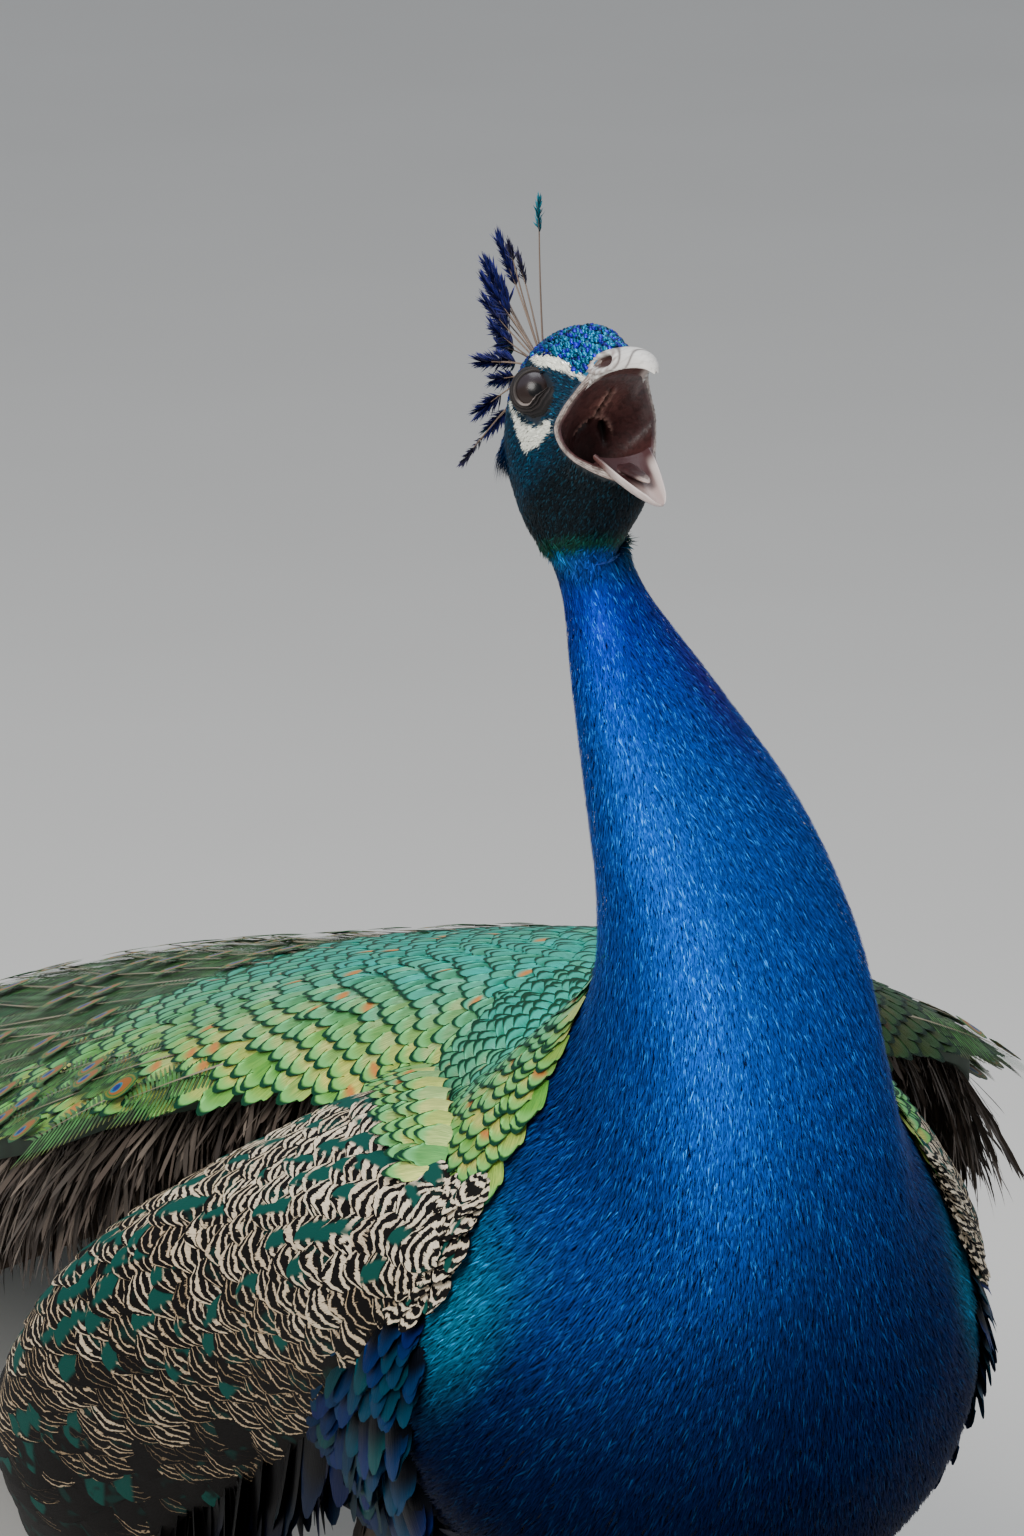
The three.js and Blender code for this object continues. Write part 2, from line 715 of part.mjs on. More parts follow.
// ---- Train, cape and tail ----------------------------------------------------------------------------------------------------
function trainRing(t) {
  const [y, x, topZ, width, drop, thickness] = along(TRAIN, t);
  const surface = (q, depth) => {
    const thin = depth * (1 - 0.62 * q * q);
    return new THREE.Vector3(x + width * q, y + EDGE_LAG * q * q, topZ - drop * Math.abs(q) ** 2.2 - thin);
  };
  const over = steps(TRAIN_SIDES, -1, 1).map((q) => surface(q, 0));
  const under = steps(TRAIN_SIDES - 2, 0.9, -0.9).map((q) => surface(q, thickness));
  return [...over, ...under];
}

function trainPart(from, to) {
  const start = from > 0 ? from + CUT / 4 : from;
  const end = to < TRAIN.length - 1 ? to - CUT / 4 : to;
  return slabMesh(steps(Math.ceil(to - from) + 1, start, end).map(trainRing));
}

// Feather tips that break the train's edge, from a place on its rim outwards and back.
function edgeTips(from, to, count, length) {
  return steps(count - 1, from, to).flatMap((t) => {
    const [y, x, topZ, width, drop] = along(TRAIN, t);
    const z = topZ - drop - 6;
    return [-1, 1].map((side) =>
      blade(
        [x + side * (width - 34), y - 20, z + 12],
        [x + side * (width + 16), y + length, Math.max(z - 16, 3.2)],
        34,
        8,
      ),
    );
  });
}

function endFringe(count) {
  const [, , , width] = TRAIN.at(-1);
  return steps(count - 1, -1, 1).map((q) => {
    const reach = 66 * Math.sqrt(1 - 0.7 * q * q);
    return blade(
      [q * width * 0.86, TRAIN_END - 44, 9],
      [q * (width + 24), TRAIN_END + reach, 3.4],
      34,
      8.4,
    );
  });
}

function tailMesh() {
  const rings = steps(6, 0, TAIL.length - 1).map((t) => {
    const [y, z, width] = along(TAIL, t);
    const at = (q, depth) => new THREE.Vector3(width * q, y, z - 14 * q * q - depth);
    return [
      ...steps(8, -1, 1).map((q) => at(q, 0)),
      ...steps(6, 0.9, -0.9).map((q) => at(q, TAIL_THICKNESS * (1 - 0.5 * q * q))),
    ];
  });
  return slabMesh(rings);
}

const wholeTrain = trainPart(0, TRAIN.length - 1);
const [capeEnd, middleEnd] = TRAIN_CUTS;
const wings = [wholeWings.left, wholeWings.right];
const capePieces = [trainPart(0, capeEnd), ...edgeTips(2.3, 3.6, 3, 66)];
const middlePieces = [trainPart(capeEnd, middleEnd), ...edgeTips(capeEnd + 0.3, middleEnd - 0.45, 4, 84)];
const endPieces = [
  trainPart(middleEnd, TRAIN.length - 1),
  ...edgeTips(middleEnd + 0.35, TRAIN.length - 2, 3, 84),
  ...endFringe(7),
];
add("cape", carved(joined(...capePieces), wholeBody, ...wings), GREEN_GOLD);
add("train_middle", carved(joined(...middlePieces), ...capePieces, wholeBody, ...wings), TRAIN_GREEN);
add("train_end", carved(joined(...endPieces), ...middlePieces), TRAIN_GREEN);
add("tail", carved(tailMesh(), wholeBody, wholeTrain), TAIL_BROWN);

// ---- The origin goes under the middle of the whole, on the floor -----------------------------------------------------------------
const peacock = new THREE.Group();
peacock.add(bird);
const box = new THREE.Box3().setFromObject(peacock);
bird.position.set(-(box.min.x + box.max.x) / 2, -(box.min.y + box.max.y) / 2, -box.min.z);

export default peacock;
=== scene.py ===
import math

import bpy
import numpy as np
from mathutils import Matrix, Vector


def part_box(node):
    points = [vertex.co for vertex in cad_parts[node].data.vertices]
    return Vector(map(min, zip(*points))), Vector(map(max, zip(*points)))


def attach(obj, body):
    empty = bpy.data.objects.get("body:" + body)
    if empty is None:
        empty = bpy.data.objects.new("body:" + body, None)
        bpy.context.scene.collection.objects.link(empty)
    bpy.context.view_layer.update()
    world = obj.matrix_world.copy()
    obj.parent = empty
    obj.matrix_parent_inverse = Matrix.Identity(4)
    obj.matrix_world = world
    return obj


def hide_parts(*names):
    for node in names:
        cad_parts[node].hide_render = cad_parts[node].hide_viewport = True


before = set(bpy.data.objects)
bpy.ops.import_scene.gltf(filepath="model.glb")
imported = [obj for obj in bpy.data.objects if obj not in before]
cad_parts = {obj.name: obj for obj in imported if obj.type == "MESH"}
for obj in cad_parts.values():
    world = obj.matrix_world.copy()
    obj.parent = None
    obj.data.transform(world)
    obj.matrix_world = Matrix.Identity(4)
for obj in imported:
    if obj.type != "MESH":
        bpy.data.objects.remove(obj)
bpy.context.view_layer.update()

MM = 0.001
rng = np.random.default_rng(7)

GAPE = np.array([-31.0, -122.5, 763.5])  # midway between the corners of the mouth
HEAD_YAW, HEAD_PITCH = math.radians(18), math.radians(28)
AHEAD = np.array([math.sin(HEAD_YAW), -math.cos(HEAD_YAW), 0.0])
SKULL_X = AHEAD * math.cos(HEAD_PITCH) + np.array([0, 0, math.sin(HEAD_PITCH)])  # along the bill
SKULL_Y = np.array([math.cos(HEAD_YAW), math.sin(HEAD_YAW), 0.0])  # to the bird's left
SKULL_Z = np.array([0, 0, math.cos(HEAD_PITCH)]) - AHEAD * math.sin(HEAD_PITCH)  # to the crown
SKULL = np.array([SKULL_X, SKULL_Y, SKULL_Z])
EYE = np.array([-10.2, -16.9, 18.4])  # the bird's right eye, in the skull's frame
EYE_RADIUS = 9.3


def from_skull(p):
    """Points of the head's own frame, in the bird's frame."""
    return GAPE + np.asarray(p) @ SKULL


low, high = (np.array(c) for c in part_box("eye_right"))
SHIFT = (low + high) / 2 - from_skull(EYE) * MM  # the bird's frame origin, in the row frame, in metres

LOOK_AT = np.array([-66.5, -129.5, 640.0])
LENS, SENSOR = 193.4, 36
AZIMUTH, ELEVATION, DISTANCE = math.radians(-14), math.radians(14), 3000.0
BACK = np.array([
    math.sin(AZIMUTH) * math.cos(ELEVATION),
    -math.cos(AZIMUTH) * math.cos(ELEVATION),
    math.sin(ELEVATION),
])

camera_data = bpy.data.cameras.new("camera")
camera_data.lens = LENS
camera_data.sensor_width = SENSOR
camera_data.clip_end = 50
camera = bpy.data.objects.new("camera", camera_data)
camera.location = (LOOK_AT + DISTANCE * BACK) * MM + SHIFT
camera.rotation_euler = Vector(BACK).to_track_quat("Z", "Y").to_euler()
bpy.context.scene.collection.objects.link(camera)
bpy.context.scene.camera = camera


def new_mesh(name, points, faces, attributes=None, smooth=True, uv=None):
    """A mesh object from points in millimetres of the bird's frame. Faces are an array with a row of point
    numbers for each, or several such arrays; an attribute holds a number or a colour for each point, and uv a
    place in the baked picture."""
    mesh = bpy.data.meshes.new(name)
    points = np.asarray(points, float).reshape(-1, 3) * MM + SHIFT
    groups = faces if isinstance(faces, (list, tuple)) else [faces]
    loops = np.concatenate([np.asarray(f).ravel() for f in groups]).astype(np.int32)
    totals = np.concatenate([np.full(len(f), np.asarray(f).shape[1]) for f in groups]).astype(np.int32)
    mesh.vertices.add(len(points))
    mesh.vertices.foreach_set("co", points.astype(np.float32).ravel())
    mesh.loops.add(len(loops))
    mesh.loops.foreach_set("vertex_index", loops)
    mesh.polygons.add(len(totals))
    mesh.polygons.foreach_set("loop_start", (np.cumsum(totals) - totals).astype(np.int32))
    mesh.polygons.foreach_set("loop_total", totals)
    mesh.update(calc_edges=True)
    mesh.validate()
    if smooth:
        mesh.polygons.foreach_set("use_smooth", np.ones(len(totals), bool))
    for key, values in (attributes or {}).items():
        values = np.asarray(values, np.float32)
        if values.ndim == 1:
            mesh.attributes.new(key, "FLOAT", "POINT").data.foreach_set("value", values)
        else:
            values = values.reshape(-1, 3)
            values = np.c_[values, np.ones(len(values), np.float32)]
            mesh.attributes.new(key, "FLOAT_COLOR", "POINT").data.foreach_set("color", values.ravel())
    if uv is not None:
        layer = mesh.uv_layers.new(name="OFBake")
        layer.data.foreach_set("uv", np.asarray(uv, np.float32).reshape(-1, 2)[loops].ravel())
    obj = bpy.data.objects.new(name, mesh)
    bpy.context.scene.collection.objects.link(obj)
    return obj


class Socket:
    """One output of a shader node, with the usual arithmetic: each step adds a Math node."""

    def __init__(self, tree, socket):
        self.tree, self.socket = tree, socket

    def math(self, operation, *others):
        """A Math node's result for this value and the others, in their order."""
        node = self.tree.nodes.new("ShaderNodeMath")
        node.operation = operation
        for slot, value in zip(node.inputs, (self, *others)):
            plug(self.tree, slot, value)
        return Socket(self.tree, node.outputs[0])

    def __add__(self, other):
        return self.math("ADD", other)

    def __sub__(self, other):
        return self.math("SUBTRACT", other)

    def __mul__(self, other):
        return self.math("MULTIPLY", other)

    __radd__ = __add__
    __rmul__ = __mul__

    def __rsub__(self, other):
        return (self * -1) + other

    def ramp(self, low, high):
        """0 at low and below, 1 at high and above, smoothly between."""
        node = self.tree.nodes.new("ShaderNodeMapRange")
        node.interpolation_type = "SMOOTHSTEP"
        plug(self.tree, node.inputs["Value"], self)
        plug(self.tree, node.inputs["From Min"], low)
        plug(self.tree, node.inputs["From Max"], high)
        return Socket(self.tree, node.outputs["Result"])


def plug(tree, slot, value):
    """Feeds a node's input from another node's output, or sets it to a fixed value."""
    if isinstance(value, Socket):
        tree.links.new(value.socket, slot)
    else:
        slot.default_value = value


class Paint:
    """A material being made: its nodes, its surface, and short ways to add to them."""

    def __init__(self, name, **constants):
        self.material = bpy.data.materials.new(name)
        self.material.use_nodes = True
        self.tree = self.material.node_tree
        self.surface = self.tree.nodes["Principled BSDF"]
        self.set(**constants)

    def set(self, **inputs):
        """Feeds or fixes inputs of the surface, their names written with underscores."""
        for key, value in inputs.items():
            plug(self.tree, self.surface.inputs[key.replace("_", " ")], value)
        return self

    def node(self, kind, output, settings=None, **inputs):
        """A node of any kind: its settings first, then its inputs; gives the named output."""
        node = self.tree.nodes.new(kind)
        for key, value in (settings or {}).items():
            setattr(node, key, value)
        for key, value in inputs.items():
            plug(self.tree, node.inputs[key.replace("_", " ")], value)
        return Socket(self.tree, node.outputs[output])

    def attribute(self, name, output="Fac"):
        """What the mesh stores under a name, as a number, or as a colour with output "Color"."""
        return self.node("ShaderNodeAttribute", output, {"attribute_name": name})

    def attributes(self, *names):
        """Several stored numbers at once."""
        return [self.attribute(name) for name in names]

    def noise(self, scale, detail=2.0, vector=None, distortion=0.0):
        """Cloudy noise from 0 to 1, in the bird's own place in metres or at another vector."""
        vector = vector or self.node("ShaderNodeTexCoord", "Object")
        return self.node(
            "ShaderNodeTexNoise", "Fac", Vector=vector, Scale=scale, Detail=detail, Distortion=distortion,
        )

    def mix(self, factor, a, b):
        """Colour a where the factor is 0 and colour b where it is 1."""
        node = self.tree.nodes.new("ShaderNodeMix")
        node.data_type = "RGBA"
        for index, value in zip((0, 6, 7), (factor, a, b)):
            plug(self.tree, node.inputs[index], (*value, 1) if isinstance(value, tuple) else value)
        return Socket(self.tree, node.outputs[2])

    def combine(self, x, y, z):
        """Three numbers as one vector."""
        return self.node("ShaderNodeCombineXYZ", "Vector", X=x, Y=y, Z=z)

    def bump(self, height, strength=0.5, distance=0.0005):
        """Small relief from a height, as deep as distance in metres."""
        normal = self.node("ShaderNodeBump", "Normal", Strength=strength, Distance=distance, Height=height)
        return self.set(Normal=normal)


floor_paint = Paint("floor", Roughness=0.9)
floor_paint.set(Base_Color=floor_paint.mix(floor_paint.noise(3.0), (0.62, 0.6, 0.57), (0.66, 0.64, 0.61)))
FLOOR_REACH = 12000.0  # half of its side
corners = np.array([[-1, -1], [1, -1], [1, 1], [-1, 1]]) * FLOOR_REACH
floor = new_mesh("floor", np.c_[corners, np.zeros(4)], np.array([[0, 1, 2, 3]]), smooth=False)
floor.data.materials.append(floor_paint.material)

world = bpy.data.worlds.new("daylight")
bpy.context.scene.world = world
world.use_nodes = True
world.node_tree.nodes["Background"].inputs["Color"].default_value = (0.86, 0.92, 1.0, 1)
world.node_tree.nodes["Background"].inputs["Strength"].default_value = 0.5


LIT_PLACE = np.array([-20, -100, 560.0])  # the foot of the neck


def area_light(name, place, size, power, color):
    """A soft square light at a place in the bird's frame, aimed at the neck."""
    data = bpy.data.lights.new(name, "AREA")
    data.shape, data.size, data.energy, data.color = "SQUARE", size, power, color
    light = bpy.data.objects.new(name, data)
    light.location = np.array(place) * MM + SHIFT
    light.rotation_euler = Vector(np.array(place) - LIT_PLACE).to_track_quat("Z", "Y").to_euler()
    bpy.context.scene.collection.objects.link(light)


area_light("key", (-2200, -2200, 3000), 1.9, 165, (1.0, 0.97, 0.92))
area_light("fill", (2400, -1800, 1600), 2.2, 9, (0.88, 0.94, 1.0))
area_light("top", (0, 600, 3200), 2.0, 60, (0.92, 0.96, 1.0))

# ---- Skin: one surface from the tail root to the throat ----
# Lofted through the same stations as the flesh solids, and kept inside them by the depth of the coat.
# It carries the colours of the coat above it, and shows bare round the eyes and in the mouth.
BODY = np.array([
    [0, 336, 388, 0, 326, 366, 26],
    [0, 258, 432, 0, 262, 334, 82],
    [0, 150, 468, 0, 148, 306, 106],
    [0, 50, 490, 0, 42, 290, 107],
    [0, -24, 508, 2, -58, 292, 110],
    [2, -58, 520, 8, -153, 317, 114],
    [1, -80, 538, 14, -200, 371, 92],
    [5, -94, 560, 22, -214, 436, 63],
    [6, -101, 585, 21, -210, 496, 52],
    [4, -102, 614, 17, -196, 548, 47],
    [-4, -101, 645, 6, -175, 598, 40],
    [-16, -96, 676, -9, -148, 646, 28],
    [-27, -90, 704, -22, -123, 686, 16.5],
    [-35, -85, 722, -31, -116, 712, 15],
])  # x, y, z of the back, x, y, z of the belly, half width
HEAD_ROWS = np.array([
    [-50, -6, -29, -45, 16.5, 0],
    [-46, 15, -25, -42, 20, 0],
    [-33, 30, -18, -38.5, 23, 1],
    [-13, 38, -8.5, -35, 23.5, 4],
    [6, 36.5, 1.5, -30.5, 22, 9],
])  # top x, z, bottom x, z, half width, how far the sides lie back
JAW_LINE = np.array([
    [22, 0, 22.5], [21, 7.5, 20], [18.8, 12.6, 15], [12.5, 15.8, 11], [6.5, 18.9, 6.8], [2, 21.3, 1.4],
    [0.6, 20.3, -5.5], [2.4, 17.6, -12], [6.5, 13, -18.5], [10, 7, -23.5], [10, 0, -25.5],
])  # where feathers end, from the top of the bill round the gape to the chin
NECK_TOP = len(BODY) - 1
HEAD_END = NECK_TOP + len(HEAD_ROWS) + 2  # the jaw line
TURN = 2 * math.pi


def oval(rows, angle):
    """Points of each row's oval section at each angle, 0 at the back and pi at the belly."""
    s = (0.5 + 0.5 * np.cos(angle))[..., None]
    back, belly = rows[..., None, 0:3], rows[..., None, 3:6]
    p = belly + (back - belly) * s
    p[..., 0] += rows[..., None, 6] * np.sin(angle)
    return p


def catmull(keys, t):
    """Uniform Catmull-Rom through rows of numbers, at each t, running straight on past both ends."""
    keys = np.asarray(keys, float)
    keys = np.concatenate([2 * keys[:1] - keys[1:2], keys, 2 * keys[-1:] - keys[-2:-1]])
    t = np.asarray(t, float)
    held = np.clip(t, 0, len(keys) - 3)
    i = np.minimum(held.astype(int), len(keys) - 4)
    u = (held - i)[..., None]
    a, b, c, d = keys[i], keys[i + 1], keys[i + 2], keys[i + 3]
    inside = 0.5 * (2 * b + (c - a) * u + (2 * a - 5 * b + 4 * c - d) * u**2 + (3 * b - a - 3 * c + d) * u**3)
    slope = 0.5 * ((c - a) + 2 * (2 * a - 5 * b + 4 * c - d) * u + 3 * (3 * b - a - 3 * c + d) * u**2)
    return inside + slope * (t - held)[..., None]


def head_rings(angle):
    """Rings of the head at each angle, in the bird's frame: rounded boxes between the top and bottom lines
    of the skull, then a ring midway to the jaw line, then the jaw line itself."""
    c, s = np.cos(angle), np.sin(angle)
    squared = np.sign(s) * np.abs(s) ** 0.82
    rings = []
    for top_x, top_z, bottom_x, bottom_z, width, back in HEAD_ROWS:
        k = 0.5 + 0.5 * c
        rings.append(np.stack([
            bottom_x + (top_x - bottom_x) * k - back * s**2,
            width * squared,
            bottom_z + (top_z - bottom_z) * k,
        ], -1))
    folded = np.abs((angle + math.pi) % TURN - math.pi)
    jaw = catmull(JAW_LINE, folded / math.pi * (len(JAW_LINE) - 1))
    jaw[..., 1] = np.abs(jaw[..., 1]) * np.where(np.sin(angle) < 0, -1, 1)
    rings.append((rings[-1] + jaw) / 2)
    rings.append(jaw)
    return from_skull(np.array(rings))


def skin_point(t, angle):
    """A point of the coat's outer surface for each pair of station and angle: the rows' sections at that
    angle, joined by a Catmull-Rom curve along the body."""
    t, angle = np.broadcast_arrays(np.asarray(t, float), np.asarray(angle, float))
    flat_t, flat_a = t.ravel(), angle.ravel()
    keys = np.concatenate([oval(BODY, flat_a), head_rings(flat_a)])  # station, point, 3
    held = np.clip(flat_t, 0, len(keys) - 1)
    i = np.minimum(held.astype(int), len(keys) - 2)
    n = np.arange(len(flat_t))
    u = (held - i)[:, None]
    b, c = keys[i, n], keys[i + 1, n]
    a = np.where((i > 0)[:, None], keys[np.maximum(i - 1, 0), n], 2 * b - c)
    d = np.where((i < len(keys) - 2)[:, None], keys[np.minimum(i + 2, len(keys) - 1), n], 2 * c - b)
    p = 0.5 * (2 * b + (c - a) * u + (2 * a - 5 * b + 4 * c - d) * u**2 + (3 * b - a - 3 * c + d) * u**3)
    return p.reshape(t.shape + (3,))


def unit(v):
    """Vectors divided by their own lengths."""
    return v / np.maximum(np.linalg.norm(v, axis=-1, keepdims=True), 1e-9)


def skin_frame(t, angle):
    """Point, outward normal, and the unit directions along the body (towards the head) and round it."""
    e = 1e-3
    p = skin_point(t, angle)
    along = skin_point(np.minimum(t + e, HEAD_END), angle) - skin_point(np.maximum(t - e, 0), angle)
    around = skin_point(t, angle + e) - skin_point(t, angle - e)
    normal = unit(np.cross(along, around))
    return p, normal, unit(along), unit(around)


def coat_depth(t):
    """How far the skin lies below the coat's surface, station by station: deep on the trunk, thin on the
    head."""
    return np.interp(t, [0, 2, 6, 9, 12, 14, 16, HEAD_END], [6, 9, 7, 4, 2.5, 1.6, 0.9, 0.5])


# The face is parted by markings: a white brow band, a white crescent under the eye, and bare dark skin round
# the eye. Each is an outline in the head's upright plane, x along the bill and z to the crown, the same on
# both sides.
NECK_BLUE, ROYAL_BLUE, BREAST_BLUE = (0.003, 0.075, 0.42), (0.005, 0.035, 0.4), (0.001, 0.03, 0.2)
# Of these, the navy is the lower breast's own dark colour deepened as painted shade, and the violet is
# painted shade on the bird's left side of the neck.
NAVY_AND_SHADE, VIOLET, TEAL = (0.0006, 0.0035, 0.022), (0.03, 0.006, 0.22), (0.003, 0.16, 0.26)
COLLAR, BOTTLE_GREEN = (0.002, 0.055, 0.12), (0.001, 0.033, 0.02)
BELLY_BLACK, FLUFF_BROWN = (0.012, 0.009, 0.008), (0.075, 0.048, 0.034)
CHEEK, THROAT_BLACK, WHITE = (0.003, 0.024, 0.05), (0.002, 0.007, 0.011), (0.76, 0.77, 0.68)
CROWN_VIOLET, CROWN_TEAL = (0.006, 0.02, 0.24), (0.004, 0.11, 0.22)
COLLAR_HEIGHT = 726  # where the throat's dark feathers end, for a point as far forward as the throat
BROW_BAND = [
    (-9.7, 32.9), (-5.6, 31.4), (0.9, 29.2), (6.8, 25.2), (10.7, 21.6), (14.6, 17), (19.4, 12.8),
    (19.4, 11.6), (14.6, 15), (10.7, 17.8), (6.8, 20.2), (0.9, 24.2), (-5.6, 28.6), (-9.7, 31.7),
]
CRESCENT = [
    (-27, 22), (-20.9, 15.3), (-18.4, 7.2), (-16.7, -0.9), (-11.9, -1.6), (-7.2, -1.2), (-0.3, 0.6),
    (1.3, 4.3), (-2.1, 4.9), (-7.9, 4.8), (-12.5, 8), (-18.1, 14.2), (-24, 21),
]
BARE_PATCH = [
    (-25, 25), (-21, 28.5), (-14, 29.5), (-6, 26.6), (2, 21.6), (5, 15.9), (4, 10.8), (-0.2, 6.6),
    (-7.5, 5.8), (-15.1, 12.1), (-21, 19),
]


def blend(a, b, w):
    """Colour a where w is 0, colour b where it is 1, and their weighted mean between."""
    w = np.asarray(w)[..., None]
    return np.asarray(a, float) * (1 - w) + np.asarray(b, float) * w


def smooth_step(low, high, x):
    """0 at low and below, 1 at high and above, and 3 t^2 - 2 t^3 between, t being the share of the way."""
    t = np.clip((x - low) / (high - low), 0, 1)
    return t * t * (3 - 2 * t)


def in_outline(x, z, outline, soft=1.0):
    """1 inside a closed outline and 0 outside it, with an edge so many millimetres soft: the distance to the
    nearest side, counted as outside where a line drawn along x crosses the outline an even number of
    times."""
    corner = np.array(outline, float)
    step = np.roll(corner, -1, 0) - corner
    w = np.stack([x, z], -1)[..., None, :] - corner
    k = np.clip((w * step).sum(-1) / (step**2).sum(-1), 0, 1)
    away = np.linalg.norm(w - step * k[..., None], axis=-1).min(-1)
    over = corner[:, 1] > z[..., None]
    rise = np.where(step[:, 1] == 0, 1e-9, step[:, 1])
    side_x = corner[:, 0] + (z[..., None] - corner[:, 1]) * step[:, 0] / rise
    crossed = (over != np.roll(over, -1, -1)) & (x[..., None] < side_x)
    within = crossed.sum(-1) % 2 == 1
    return smooth_step(-soft / 2, soft / 2, np.where(within, away, -away))


def brow_height(x):
    """Height of the lower edge of the crown's coat above the eye, by place along the bill, in the skull's
    frame."""
    return np.interp(x, [-40, -30, -9.7, -5.6, 0.9, 6.8, 14.6, 22], [16, 23, 32.6, 31.2, 29, 25, 17, 11])


def white_marks(x, z):
    """1 on the white brow band and on the white crescent."""
    return np.maximum(in_outline(x, z, BROW_BAND, 0.8), in_outline(x, z, CRESCENT, 0.8))


def collar_rise(p):
    """Millimetres above the line where the throat's dark feathers end; the line climbs towards the front."""
    return p[..., 2] + 0.24 * (p[..., 1] + 130) - COLLAR_HEIGHT


def head_color(p):
    """The colour of the head's coat: violet-blue crown, teal towards the bill, dark cheeks, black-green
    throat."""
    x, y, z = np.moveaxis((p - GAPE) @ SKULL.T, -1, 0)
    color = blend(CHEEK, THROAT_BLACK, smooth_step(-1, -14, z - 0.25 * x))
    ear = np.exp(-(((x + 41) / 5) ** 2) - ((z - 7) / 6) ** 2)
    color = blend(color, (0.006, 0.035, 0.14), ear)
    crown = blend(CROWN_VIOLET, CROWN_TEAL, smooth_step(-16, 10, x + 0.25 * np.abs(y)))
    color = blend(color, crown, smooth_step(-0.6, 0.6, z - brow_height(x)))
    color = blend(color, (0.004, 0.004, 0.006), in_outline(x, z, BARE_PATCH, 3.0) * 0.9)
    return blend(color, WHITE, white_marks(x, z))


def coat_color(t, angle):
    """The colour of the body's coat by station and angle: bands along the neck that run into each other,
    violet painted shade on the bird's left side of the upper neck, darker to the belly and sides where the
    breast's own navy is deepened as painted shade, teal where the breast meets the wings, brown fluff over
    the flanks behind."""
    t, angle = np.broadcast_arrays(t, angle)
    sideways = np.abs(np.sin(angle))
    front = np.clip(-np.cos(angle), 0, 1)
    color = blend(BREAST_BLUE, NECK_BLUE, smooth_step(6.2, 9.5, t))
    color = blend(color, ROYAL_BLUE, smooth_step(10.6, 12.2, t))
    place = skin_point(t, angle)
    height = collar_rise(place)
    # Violet painted shade on the bird's left side of the upper neck, the side turned from the key light.
    shaded_left = np.exp(-(((t - 11.3) / 0.7) ** 2) - ((np.mod(angle, TURN) - 1.9) / 0.5) ** 2)
    color = blend(color, VIOLET, 0.75 * shaded_left)
    color = blend(color, COLLAR, smooth_step(-22, -6, height) * (0.5 + 0.5 * sideways))
    color = blend(color, BOTTLE_GREEN, smooth_step(-7, -2, height))
    # Darker to the belly and the sides: the breast's own dark navy, deepened as painted shade.
    color = blend(NAVY_AND_SHADE, color, smooth_step(5.4, 8.8, t + sideways * (1 - 0.6 * front)))
    teal = np.exp(-(((t - 5.8) / 0.5) ** 2)) * smooth_step(0.75, 0.95, sideways)
    teal = teal * (1 - smooth_step(0.1, 0.42, front))
    color = blend(color, TEAL, 0.8 * teal)
    color = blend(BELLY_BLACK, color, smooth_step(4.0, 4.9, t))
    fluff = smooth_step(-0.75, -0.1, np.cos(angle)) * (1 - smooth_step(3.9, 4.6, t))
    color = blend(color, FLUFF_BROWN, 0.85 * fluff)
    return blend(color, head_color(place), smooth_step(-1.5, 3.5, height))


def square_to(v, axis):
    """The unit direction at right angles to a unit axis that lies nearest to v."""
    return unit(v - (v * axis).sum(-1, keepdims=True) * axis)


def full_turn(count):
    """So many angles evenly round a full turn."""
    return np.linspace(0, TURN, count, endpoint=False)


def grid(a, b):
    """Two arrays that pair each value of a, down the rows, with each value of b, along them."""
    return np.meshgrid(a, b, indexing="ij")


def grid_faces(rows, columns, closed=False):
    """Quads of a grid of points, row by row; closed joins the last column to the first."""
    r = np.arange(rows - 1)[:, None] * columns
    c = np.arange(columns if closed else columns - 1)[None, :]
    n = (c + 1) % columns
    return np.stack([r + c, r + n, r + columns + n, r + columns + c], -1).reshape(-1, 4)


# The skin sinks into the eyeball behind each pair of lids, which are a piece of their own.
GAZE = unit(np.array([0.68, -0.73, 0.0]))  # of the right eye, in the skull's frame
LID_UP = square_to(np.array([0, 0, 1]), GAZE)
LID_FRONT = np.cross(LID_UP, GAZE)
LID_OUTER = [
    (5.5, 16), (4.5, 20), (1, 23.4), (-5, 27), (-14, 28), (-20, 22), (-17, 14), (-10, 8.4), (-3, 7.6),
    (3, 10.4),
]  # x and z of the lids' outer edge
SOCKET_REACH = 24  # the skin farther from the eye than this stays as it is
SOCKET_RADIUS = 7.6  # how near to the eye's centre it sinks
SKIN_ROUND = 144
stations = np.concatenate([
    np.linspace(0, NECK_TOP, 130, endpoint=False),
    np.linspace(NECK_TOP, HEAD_END, 130),
])
angles = full_turn(SKIN_ROUND)
T, A = grid(stations, angles)
P, N, _, _ = skin_frame(T, A)
skin_points = P - N * coat_depth(T)[..., None]
skin_color = coat_color(T, A)


def on_right_cheek(x, z):
    """Points of the skin, in the skull's frame, at places x, z on the right side of the face."""
    t, a = grid(np.linspace(14.2, 19.6, 240), np.linspace(math.pi, TURN, 200))
    p, out, _, _ = skin_frame(t, a)
    local = ((p - out * coat_depth(t)[..., None] - GAPE) @ SKULL.T).reshape(-1, 3)
    nearest = ((local[:, None, [0, 2]] - np.stack([x, z], -1)) ** 2).sum(-1).argmin(0)
    return local[nearest]


def around_gaze(local):
    """Polar place of points about the right eye's axis: the angle round it from the front, and that off
    it."""
    d = unit(local - EYE)
    round_angle = np.arctan2(d @ LID_UP, d @ LID_FRONT)
    return round_angle, np.arccos(np.clip(d @ GAZE, -1, 1))


